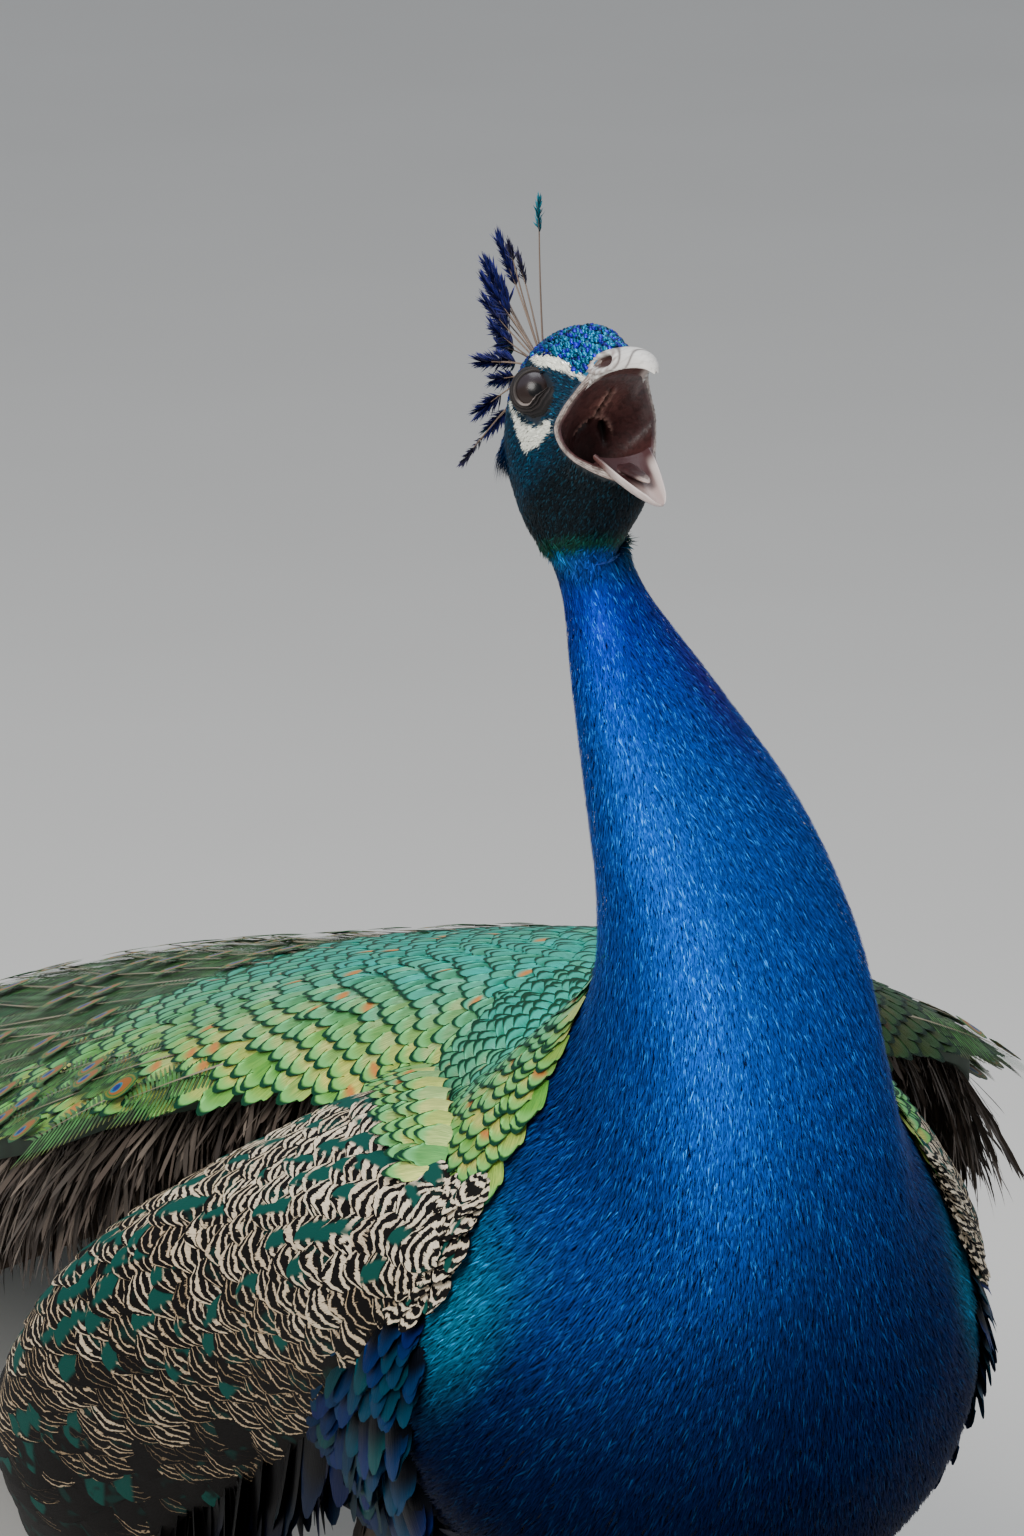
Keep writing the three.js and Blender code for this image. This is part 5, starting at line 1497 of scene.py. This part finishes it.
# The lining is painted darker deeper into the mouth: painted shade.
depth = np.linspace(0, 1, LINING_ROWS)[:, None] + 0 * x
lining_tint = blend((0.062, 0.022, 0.021), (0.02, 0.009, 0.01), smooth_step(0.3, 0.8, depth))
palate = np.exp(-((y / 7) ** 2) - ((x - 3) / 7) ** 2) * roof
lining_tint = blend(lining_tint, (0.25, 0.1, 0.085), 0.75 * palate)
lining_tint = blend(lining_tint, (0.6, 0.34, 0.28), 0.9 * ridge * (0.45 + 0.55 * ragged))
# Slit and pits are painted near black: painted shade inside the openings.
lining_tint = blend(lining_tint, (0.003, 0.002, 0.002), np.maximum(slit, pits))
wet_paint = Paint("wet mouth skin", Roughness=0.38)
mottle = wet_paint.noise(420.0, 3.0, distortion=0.6).ramp(0.42, 0.66)
flesh = wet_paint.attribute("tint", "Color")
wet_paint.set(Base_Color=wet_paint.mix(mottle * 0.55, flesh, (0.02, 0.009, 0.009)))
wet_paint.bump(wet_paint.noise(500.0, 4.0), 0.5, 0.0004)


def skull_tube(name, rings, tint, paint, slot, *nodes, flip=False):
    """A tube of rings in the skull's frame with a colour at each point; flip turns its faces round."""
    rows, columns = rings.shape[:2]
    faces = grid_faces(rows, columns, closed=True)
    places = np.stack(grid(np.linspace(0.01, 0.99, rows), np.linspace(0.01, 0.99, columns)), -1)
    obj = new_mesh(name, from_skull(rings), faces[:, ::-1] if flip else faces, {"tint": tint}, uv=places)
    piece(obj, paint, slot, *nodes)


skull_tube("lips", lip, lip_tint, wet_paint, "mouth_skin")
skull_tube("mouth_lining", lining, lining_tint, wet_paint, "mouth_skin")
TONGUE = np.array([
    [-6, -12.5, 4.6], [3, -15.5, 4.6], [11, -20.6, 3.8], [17.5, -25.6, 2.4], [20, -27.8, 0.7],
    [20.3, -28.0, 0.02],
])  # x, z and radius, from its root to its tip
x, z, r = np.moveaxis(catmull(TONGUE, np.linspace(0, 5, 50)), -1, 0)[..., None]
b = full_turn(32)
r = np.maximum(r, 0.02)
groove = 0.9 * np.exp(-(((b - math.pi / 2) / 0.5) ** 2)) * (r > 2)
tongue = np.stack([x + 0.25 * r * np.sin(b), r * np.cos(b), z + 0.35 * r * np.sin(b) - 0.2 * r * groove], -1)
tongue_tint = blend((0.05, 0.02, 0.022), (0.42, 0.32, 0.29), smooth_step(15.5, 19, x + 0 * b))
skull_tube("tongue", tongue, tongue_tint, wet_paint, "mouth_skin", "tongue", flip=True)

# ---- Bill ----
# Pale horn over the bone of each jaw: the upper half hooks down at its tip and carries a nostril with a
# swirled flap, the lower is a trough. Both are worn and a little cracked, and red-brown skin lines their
# insides.
UPPER_BILL = np.array([
    [13, 23.5, 10.2, 12.6], [22, 22.6, 12.2, 11.2], [30, 20.4, 12, 8.8], [37, 16.8, 10.6, 6],
    [41.5, 12.4, 8.4, 3.2], [43.5, 7.6, 5.6, 0.8],
])  # x, top z, z of the edge, half width
LOWER_BILL = np.array([
    [15, 12.4, 5.6, 2.6], [23, 10.4, 6.8, 3.8], [31, 7.9, 6.2, 3.6], [38, 5.3, 4.8, 2.6], [43, 2.9, 3, 1.3],
    [45.5, 0.8, 1.2, 0.3],
])  # distance along the jaw, half width, depth of the keel, depth of the trough
NOSTRIL = np.array([24.5, 17.6])  # x and z
NOSTRIL_SIZE = 5.6, 2.7  # half length and half height
NOSTRIL_LEAN = math.radians(-18)
FLAP_X, FLAP_Z = 6.2, 2.2  # how far the swirled flap's centre lies behind and below
OVER_COLUMNS = 72
horn_paint = tint_paint("horn", Roughness=0.42)
horn_paint.bump(horn_paint.noise(260.0, 5.0), 0.25, 0.0004)


def shut(rings):
    """The rings with one more at the tip, drawn together to a point."""
    return np.concatenate([rings, np.broadcast_to(rings[-1:].mean(1, keepdims=True), rings[-1:].shape)])


x, top, edge_z, wide = np.moveaxis(catmull(UPPER_BILL, np.linspace(0, 5, 110)), -1, 0)[..., None]
b = np.linspace(-math.pi / 2, math.pi / 2, OVER_COLUMNS)
over = np.stack([x + 0 * b, wide * np.sin(b), edge_z + (top - edge_z) * np.cos(b).clip(0, 1) ** 0.8], -1)
q = np.linspace(1, -1, 26)[1:-1]
under = np.stack([x + 0 * q, wide * q, edge_z + np.minimum(1.6, (top - edge_z) / 3) * (1 - q * q)], -1)
bill = np.concatenate([over, under], 1)
dx, dz = over[..., 0] - NOSTRIL[0], over[..., 2] - NOSTRIL[1]
nx = (dx * math.cos(NOSTRIL_LEAN) + dz * math.sin(NOSTRIL_LEAN)) / NOSTRIL_SIZE[0]
nz = (dz * math.cos(NOSTRIL_LEAN) - dx * math.sin(NOSTRIL_LEAN)) / NOSTRIL_SIZE[1]
away = np.hypot(nx, nz)  # 1 at the nostril's edge
hole = 1 - smooth_step(0.65, 1.05, away)
lip_ring = np.exp(-(((away - 1.25) / 0.22) ** 2))
swirl_at = np.hypot(dx + FLAP_X, (dz + FLAP_Z) * 1.1)
winding = np.sin(swirl_at * 3.4 + np.arctan2(dz, dx))
swirl = np.exp(-((swirl_at / 3.4) ** 2)) * (0.55 + 0.45 * winding)
flank = over - np.stack([over[..., 0], 0 * dx, edge_z + 0.45 * (top - edge_z) + 0 * dx], -1)
bill[:, :OVER_COLUMNS] += unit(flank) * (0.6 * lip_ring - 2.6 * hole + 1.1 * swirl)[..., None]
base = smooth_step(30, 17, over[..., 0])
streak = 0.5 + 0.5 * np.sin(over[..., 0] * 1.7 + 5 * np.sin(over[..., 2] * 0.6))
over_tint = blend((0.62, 0.6, 0.57), (0.2, 0.17, 0.16), 0.75 * base * streak)
over_tint = blend(over_tint, (0.66, 0.63, 0.59), smooth_step(36, 43, over[..., 0]))
hairline = np.abs(np.sin(over[..., 2] * 1.15 + 1.2 * np.sin(over[..., 0] * 0.3) + 0.4 * np.sin(b * 9)))
over_tint = blend(over_tint, (0.07, 0.055, 0.05), (1 - smooth_step(0.05, 0.5, hairline)) * (0.2 + 0.7 * base))
circles = (1 - smooth_step(0.05, 0.55, np.abs(np.sin(away * 4.0)))) * smooth_step(1.0, 1.2, away)
circles = circles * (1 - smooth_step(2.2, 3.4, away))
over_tint = blend(over_tint, (0.09, 0.07, 0.065), 0.9 * circles)
flap_edge = (lip_ring * streak + 1.6 * swirl * (winding < 0)).clip(0, 1)
over_tint = blend(over_tint, (0.2, 0.14, 0.13), 0.8 * flap_edge)
# The nostril's hole is painted dark red-brown: the lining's own colour, darkened as painted shade inside the
# opening.
over_tint = blend(over_tint, (0.035, 0.011, 0.009), smooth_step(0.2, 0.6, hole))
under_tint = blend((0.5, 0.42, 0.39), (0.085, 0.03, 0.026), 1 - smooth_step(0.62, 0.9, np.abs(q)))
under_tint = np.broadcast_to(under_tint, under.shape) * (0.85 + 0.15 * np.sin(q * 24))[:, None]
skull_tube(
    "upper_bill", shut(bill), shut(np.concatenate([over_tint, under_tint], 1)), horn_paint,
    "bill_horn", "bill_upper", flip=True,
)

JAW_OPEN = math.radians(56)  # how far the lower jaw hangs below the skull's own axis
jaw_along = np.array([math.cos(JAW_OPEN), 0, -math.sin(JAW_OPEN)])
jaw_down = np.array([-math.sin(JAW_OPEN), 0, -math.cos(JAW_OPEN)])
d, wide, keel, trough = np.moveaxis(catmull(LOWER_BILL, np.linspace(0, 5, 90)), -1, 0)[..., None]
outside = np.stack([d + 0 * b, wide * np.sin(b), keel * np.cos(b)], -1)
q = np.linspace(1, -1, 40)[1:-1]
rim = 0.8 * smooth_step(0.72, 0.9, np.abs(q))
inside_bill = np.stack([d + 0 * q, wide * q, trough * (1 - q * q) - rim * (1 - smooth_step(40, 45, d))], -1)
lower_bill = np.concatenate([outside, inside_bill], 1)
lower_bill = lower_bill @ np.array([jaw_along, [0, 1, 0], jaw_down])
grain = 0.5 + 0.5 * np.sin(outside[..., 0] * 0.9 + 4 * np.sin(b * 3))
outside_tint = blend((0.6, 0.5, 0.47), (0.46, 0.36, 0.34), grain * 0.6)
outside_tint = blend((0.085, 0.03, 0.026), outside_tint, smooth_step(19, 28, outside[..., 0]))
trough_tint = blend((0.06, 0.022, 0.024), (0.4, 0.3, 0.28), smooth_step(25, 36, inside_bill[..., 0]))
pale_rim = smooth_step(0.66, 0.84, np.abs(q)) * smooth_step(17, 25, d)
inside_tint = blend(trough_tint, (0.62, 0.53, 0.5), pale_rim)
skull_tube(
    "lower_bill", shut(lower_bill), shut(np.concatenate([outside_tint, inside_tint], 1)), horn_paint,
    "bill_horn", "bill_lower",
)

# ---- Crest: bare shafts with blue fans ----
# A spray of thin brown shafts grows from the skin of the crown and stands up. Each is bare but for its tip,
# where short stiff barbs spread to both sides in a fan, blackish at the shaft and violet-blue at their ends.
CREST = [
    (62, -2, 65, 13), (93.5, 4, 47, 13), (79, -8, 50, 9), (98.5, 0, 55, 19), (105.5, -6, 49.5, 19),
    (109, -10, 44, 18), (119, 6, 56, 18), (126, 4, 51, 18), (122, -6, 42, 17), (135, 8, 51.5, 16),
    (137, 0, 39, 15), (149.5, 6, 41, 14), (152, -6, 28, 10), (156, -20, 33, 12), (169, -10, 31, 12),
    (189, -20, 37.5, 13), (197, -12, 41, 14), (202, -16, 57, 15),
]  # angle in the upright plane from straight ahead, sideways lean, length, length of the fan
CREST_ROOT = np.array([-28, 0, 32.0])
SPARSE = (0, 1, 2, len(CREST) - 1)  # those with few barbs
SHAFT_ROWS, SHAFT_ROUND = 14, 6
CREST_STROKE = {**STROKE, "h": STROKE["h"] * 0}
TEAL_TIP, PLAIN_TIP, VIOLET_TIP = (0.01, 0.22, 0.3), (0.03, 0.026, 0.08), (0.006, 0.008, 0.13)
shaft_points, shaft_faces, barb_points, barb_tints = [], [], [], []
for i, (angle, lean, length, fan) in enumerate(CREST):
    up = math.radians(angle)
    out = unit(np.array([math.cos(up), math.sin(math.radians(lean)), math.sin(up)]))
    broad = unit(np.cross([0, 1, 0], out))
    thin = np.cross(out, broad)
    bent = 0.9 * (1 if i % 2 else -1)
    d = np.linspace(0, length - 0.7 * fan, SHAFT_ROWS)[:, None, None]
    b = full_turn(SHAFT_ROUND)[None, :, None]
    line = CREST_ROOT + out * d + broad * (np.sin(d / length * math.pi) * bent)
    shaft = line + (broad * np.cos(b) + thin * np.sin(b)) * (0.42 - 0.22 * d / length)
    shaft_faces.append(grid_faces(SHAFT_ROWS, SHAFT_ROUND, closed=True) + SHAFT_ROWS * SHAFT_ROUND * i)
    shaft_points.append(shaft.reshape(-1, 3))
    sparse = i in SPARSE
    loose = 70 if sparse else 230
    place = np.sort(rng.random(loose)) ** 0.8
    at = length - 1.15 * fan + place * (1.15 * fan - 3.5)
    turned_by = np.where(np.arange(loose) % 2 == 0, 1, -1) * np.radians(rng.uniform(14, 46, loose))
    turned_by = (turned_by * (1.1 - 0.55 * place))[:, None]
    swing = rng.normal(0, 0.3, loose)[:, None]
    lie = out * np.cos(turned_by) + (broad * np.cos(swing) + thin * np.sin(swing)) * np.sin(turned_by)
    face = unit(np.cross(lie, thin + rng.normal(0, 0.5, (loose, 3))))
    reach = rng.uniform(3.8, 7.8, loose) * (0.66 if sparse else 1.0)
    roots = CREST_ROOT + out * at[:, None] + broad * (np.sin(at / length * math.pi) * bent)[:, None]
    barb_points.append(stand(CREST_STROKE, roots, face, lie, reach, rng.uniform(0.55, 0.85, loose), 0.0))
    tip = TEAL_TIP if i == 0 else PLAIN_TIP if sparse else VIOLET_TIP
    shade = blend((0.003, 0.003, 0.007), tip, STROKE["u"] ** 1.2)
    barb_tints.append((rng.uniform(0.5, 1.7, loose)[:, None, None] * shade[None]).reshape(-1, 3))
crest_paint = tint_paint("crest fans", Roughness=0.5, Metallic=0.3, Specular_IOR_Level=0.3)
barb_points = np.concatenate(barb_points)
n = len(barb_points)
place = np.c_[np.arange(n) // 40 / (n // 40 + 1), np.arange(n) % 40 / 40]
fans = new_mesh(
    "crest_fans", from_skull(barb_points), many(STROKE, n), {"tint": np.concatenate(barb_tints)},
    uv=tuft_places(STROKE, place, 0.012),
)
piece(fans, crest_paint, "crest_feathers")
shaft_points = np.concatenate(shaft_points)
shaft, k = np.divmod(np.arange(len(shaft_points)), SHAFT_ROWS * SHAFT_ROUND)
shafts = new_mesh(
    "crest_shafts", from_skull(shaft_points), np.concatenate(shaft_faces),
    uv=np.c_[shaft / len(CREST), k / (SHAFT_ROWS * SHAFT_ROUND)],
)
piece(shafts, clouded_paint("shafts", (0.16, 0.11, 0.08), 0.5), "crest_feathers", "crest")

# ---- Legs and feet ----
# Each thigh is muscle under short dark brown feathers that point down and thin out at the hock, its upper
# end hidden in the belly's. Shank and toes are bone in scaled grey-brown skin, with a spur and claws of dark
# horn grown on them.


def limb(keys, flat=1.0):
    """The surface of a limb through keys (x, y, z, radius): u runs 0 to 1 along a Catmull-Rom line through
    them, and v turns round it in an oval whose second half width is flat times the radius."""
    keys = np.array(keys, float)

    def point(u, v):
        u, v = np.broadcast_arrays(np.asarray(u, float), np.asarray(v, float))
        last = len(keys) - 1
        at = catmull(keys, u * last)
        ahead = unit((catmull(keys, (u + 0.01) * last) - catmull(keys, (u - 0.01) * last))[..., :3])
        aside = square_to(np.array([1.0, 0, 0]), ahead)
        raised = np.cross(ahead, aside)
        r = at[..., 3:]
        return at[..., :3] + aside * r * np.cos(v)[..., None] + raised * r * flat * np.sin(v)[..., None]

    return point


def tube(name, surface, paint, slot, *nodes, rows=60, around=36, relief=None, tint=None):
    """A closed skin over a limb, with relief(u, v) added outwards in millimetres and a colour at each
    point."""
    u, v = grid(np.linspace(0, 1, rows), full_turn(around))
    p = surface(u, v)
    middle = p.mean(1, keepdims=True)
    if relief is not None:
        p = p + unit(p - middle) * relief(u, v)[..., None]
    p[..., 2] = np.maximum(p[..., 2], 0.0)
    points = np.concatenate([p.reshape(-1, 3), middle[[0, -1], 0]])
    k, last = np.arange(around), (rows - 1) * around
    ends = [
        np.stack([np.full(around, rows * around), (k + 1) % around, k], -1),
        np.stack([np.full(around, rows * around + 1), last + k, last + (k + 1) % around], -1),
    ]
    color = np.broadcast_to(tint(u, v) if callable(tint) else np.array(tint), u.shape + (3,))
    color = np.concatenate([color.reshape(-1, 3), color[0, :1], color[-1, :1]])
    uv = np.stack([u, v / TURN], -1).reshape(-1, 2) * 0.98
    uv = np.concatenate([uv, [[0, 0.99], [0.99, 0.99]]])
    obj = new_mesh(name, points, [grid_faces(rows, around, closed=True)] + ends, {"tint": color}, uv=uv)
    piece(obj, paint, slot, *nodes)


HOCK, FOOT = np.array([57, 52, 172.0]), np.array([56, 8, 15.0])
SPUR_HEIGHT = 58
scaly = tint_paint("leg skin", Roughness=0.62)
scaly.bump(scaly.noise(420.0, 4.0), 0.5, 0.0005)
claw_paint = tint_paint("claw horn", Roughness=0.45)
claw_paint.bump(claw_paint.noise(300.0, 3.0), 0.25, 0.0003)
LEG_GREY, LEG_DARK, CLAW_DARK = (0.2, 0.165, 0.125), (0.075, 0.058, 0.045), (0.045, 0.034, 0.027)


def scutes(length, size):
    """Relief and colour of overlapping plates down the front of a leg or toe, each a sawtooth with a rounded
    step, and of crossed waves for the smaller ones round its back."""

    def relief(u, v):
        front = smooth_step(-0.1, 0.5, np.sin(v))
        plate = (u * length / size + 0.12 * np.cos(v)) % 1
        step = plate**3 * 0.55 + 0.1 * (1 - np.abs(2 * plate - 1))
        pebble = 0.25 * np.sin(u * length * 1.9 + np.sin(v * 3) * 2) * np.sin(v * 7 + u * length * 0.6)
        return front * step + (1 - front) * pebble

    def tint(u, v):
        front = smooth_step(-0.1, 0.5, np.sin(v))
        plate = (u * length / size + 0.12 * np.cos(v)) % 1
        dark = smooth_step(0.8, 1.0, plate) * front + (1 - front) * 0.45
        return blend(LEG_GREY, LEG_DARK, dark)

    return relief, tint


THIGH_LIE = np.array([0.0, 0.12, -1.0])
TOES = [("inner", -30, 42), ("middle", 8, 64), ("outer", 42, 46), ("hind", 172, 24)]  # splay, length
for word, side in SIDES:
    thigh = limb([
        [side * 46, -8, 352, 46], [side * 54, 4, 298, 40], [side * 58, 26, 240, 27],
        [side * HOCK[0], HOCK[1] - 6, HOCK[2] + 14, 12], [side * HOCK[0], HOCK[1], HOCK[2], 9],
    ], 1.15)
    tube(
        f"thigh_{word}", thigh, plume_paint, "dark_feathers", f"thigh_{word}",
        relief=lambda u, v: -3.0 + 1.5 * u, tint=(0.02, 0.014, 0.011),
    )
    plumes(
        f"thigh_plumes_{word}", lambda u, v: thigh(u, -v), ((0.12, 0.97), (0, TURN)),
        lambda u, v: 0.035 + 0.16 * u**2, lambda u, v: blend((0.028, 0.02, 0.016), (0.07, 0.05, 0.036), u),
        (15, 4.2, 2.6), lambda u, v: np.broadcast_to(THIGH_LIE, u.shape + (3,)), sink=1.5, jitter=0.25,
    )
    shank = limb([
        [side * HOCK[0], HOCK[1] + 1, HOCK[2] + 8, 8.2],
        [side * (HOCK[0] - 0.3), HOCK[1] - 6, HOCK[2] - 16, 7.6],
        [side * (HOCK[0] - 0.6), (HOCK[1] + FOOT[1]) / 2 + 4, HOCK[2] / 2 + 12, 6.4],
        [side * FOOT[0], FOOT[1] + 6, FOOT[2] + 26, 6.2], [side * FOOT[0], FOOT[1], FOOT[2] + 4, 9.4],
        [side * FOOT[0], FOOT[1] - 1, FOOT[2] - 8, 8],
    ], 1.15)
    relief, tint = scutes(185, 7.5)
    tube(
        f"shank_{word}", shank, scaly, "leg_skin", f"shank_{word}", rows=220, around=48,
        relief=relief, tint=tint,
    )
    spur_y = FOOT[1] + 14
    spur = limb([
        [side * (FOOT[0] - 2), spur_y - 4, SPUR_HEIGHT, 4.6],
        [side * (FOOT[0] - 7), spur_y + 9, SPUR_HEIGHT + 3, 3.4],
        [side * (FOOT[0] - 10), spur_y + 22, SPUR_HEIGHT + 10, 0.7],
    ])
    tube(
        f"spur_{word}", spur, claw_paint, "claw_horn", f"spur_{word}", rows=40, around=20,
        tint=lambda u, v: blend((0.11, 0.085, 0.065), CLAW_DARK, u),
    )
    for toe_name, splay, length in TOES:
        turn = math.radians(splay)
        ahead = np.array([side * math.sin(turn), -math.cos(turn)])
        start = np.array([side * FOOT[0], FOOT[1]])
        r = 5.6 * (0.8 if toe_name == "hind" else 1.0)
        toe_keys = [[*(start + ahead * along_toe), z, radius] for along_toe, z, radius in (
            (3, r * 1.5, r), (length * 0.4, r * 0.78, r * 0.95), (length * 0.75, r * 0.68, r * 0.85),
            (length, r * 0.6, r * 0.7),
        )]
        claw_keys = [[*(start + ahead * along_toe), z, radius] for along_toe, z, radius in (
            (length - 4, r * 0.8, r * 0.5), (length + 7.5, r * 0.95, r * 0.42), (length + 15, r * 0.32, 0.5),
        )]
        relief, tint = scutes(length, 4.6)
        nodes = (f"foot_{word}",) if toe_name == "inner" else ()
        tube(
            f"toe_{toe_name}_{word}", limb(toe_keys), scaly, "leg_skin", *nodes, rows=110, tint=tint,
            relief=lambda u, v, f=relief: f(u, v) + 0.5 * np.sin(u * 9.4) ** 2 * (np.sin(v) < 0.3) - 0.3,
        )
        tube(
            f"toe_claw_{toe_name}_{word}", limb(claw_keys), claw_paint, "claw_horn",
            f"claw_{toe_name}_{word}", rows=30, around=18,
            tint=lambda u, v: blend((0.085, 0.066, 0.05), CLAW_DARK, u),
        )

# ---- Tail: stiff brown feathers under the train ----
# Twenty broad grey-brown quills, in two layers rooted in the rump, fan out behind it and hold the train up
# from below. They overlap like a hand of cards over a thin inner sheet.
TAIL = np.array([[205, 404, 30], [300, 380, 58], [430, 338, 74], [560, 292, 84], [612, 274, 70]])
TAIL_THICKNESS = 11


def tail_point(t, q, depth=0.0):
    """The tail's upper surface, bowed down at its sides by a parabola; depth 1 is its underside."""
    t, q = np.broadcast_arrays(np.asarray(t, float), np.asarray(q, float))
    y, z, width = np.moveaxis(catmull(TAIL, t), -1, 0)
    return np.stack([width * q, y, z - 14 * q**2 - depth * TAIL_THICKNESS * (1 - 0.5 * q**2)], -1)


tail_brown = clouded_paint("tail core", (0.05, 0.036, 0.027))
places = grid(np.linspace(0, 3.9, 40), np.linspace(-0.96, 0.96, 31))
slab("tail_base", tail_point(*places, 0.2), tail_point(*places, 0.8), tail_brown, "tail_feathers", ("tail",))
tail_paint = Paint("tail vanes", Roughness=0.6)
row, column, tone = tail_paint.attributes("row", "column", "tone")
fibre = tail_paint.noise(1.0, 3.0, tail_paint.combine(column * 26 + row * 18, row * 3, tone * 20))
brown = tail_paint.mix(fibre, (0.06, 0.042, 0.03), (0.17, 0.125, 0.09))
quill = (column * column).ramp(0.0, 0.006)
tail_paint.set(Base_Color=tail_paint.mix(quill, (0.34, 0.28, 0.2), brown))
tail_paint.bump(fibre, 0.4, 0.0005)
vane = leaf(16, 9, root=0.3, widest=0.7, round_tip=0.12, arch=0.0)
vane["h"] = 0.6 - 0.6 * vane["column"] ** 2
n = 20
q = np.linspace(-0.88, 0.88, n)
for name, depth, side in (("tail_quills_above", 0.0, -1), ("tail_quills_below", 1.0, 1)):
    points = drape(
        lambda a, b, depth=depth: tail_point(a, b, depth), np.full(n, 0.25), q, 0.16 * q,
        400.0 - 45 * np.abs(q), np.full(n, 30.0), vane, 1.6, 0.4 + 0.15 * (np.arange(n) % 4), side=side,
    )
    quills = feather_mesh(name, points, vane, {"tone": rng.random(n)}, side=side)
    piece(quills, tail_paint, "tail_feathers")
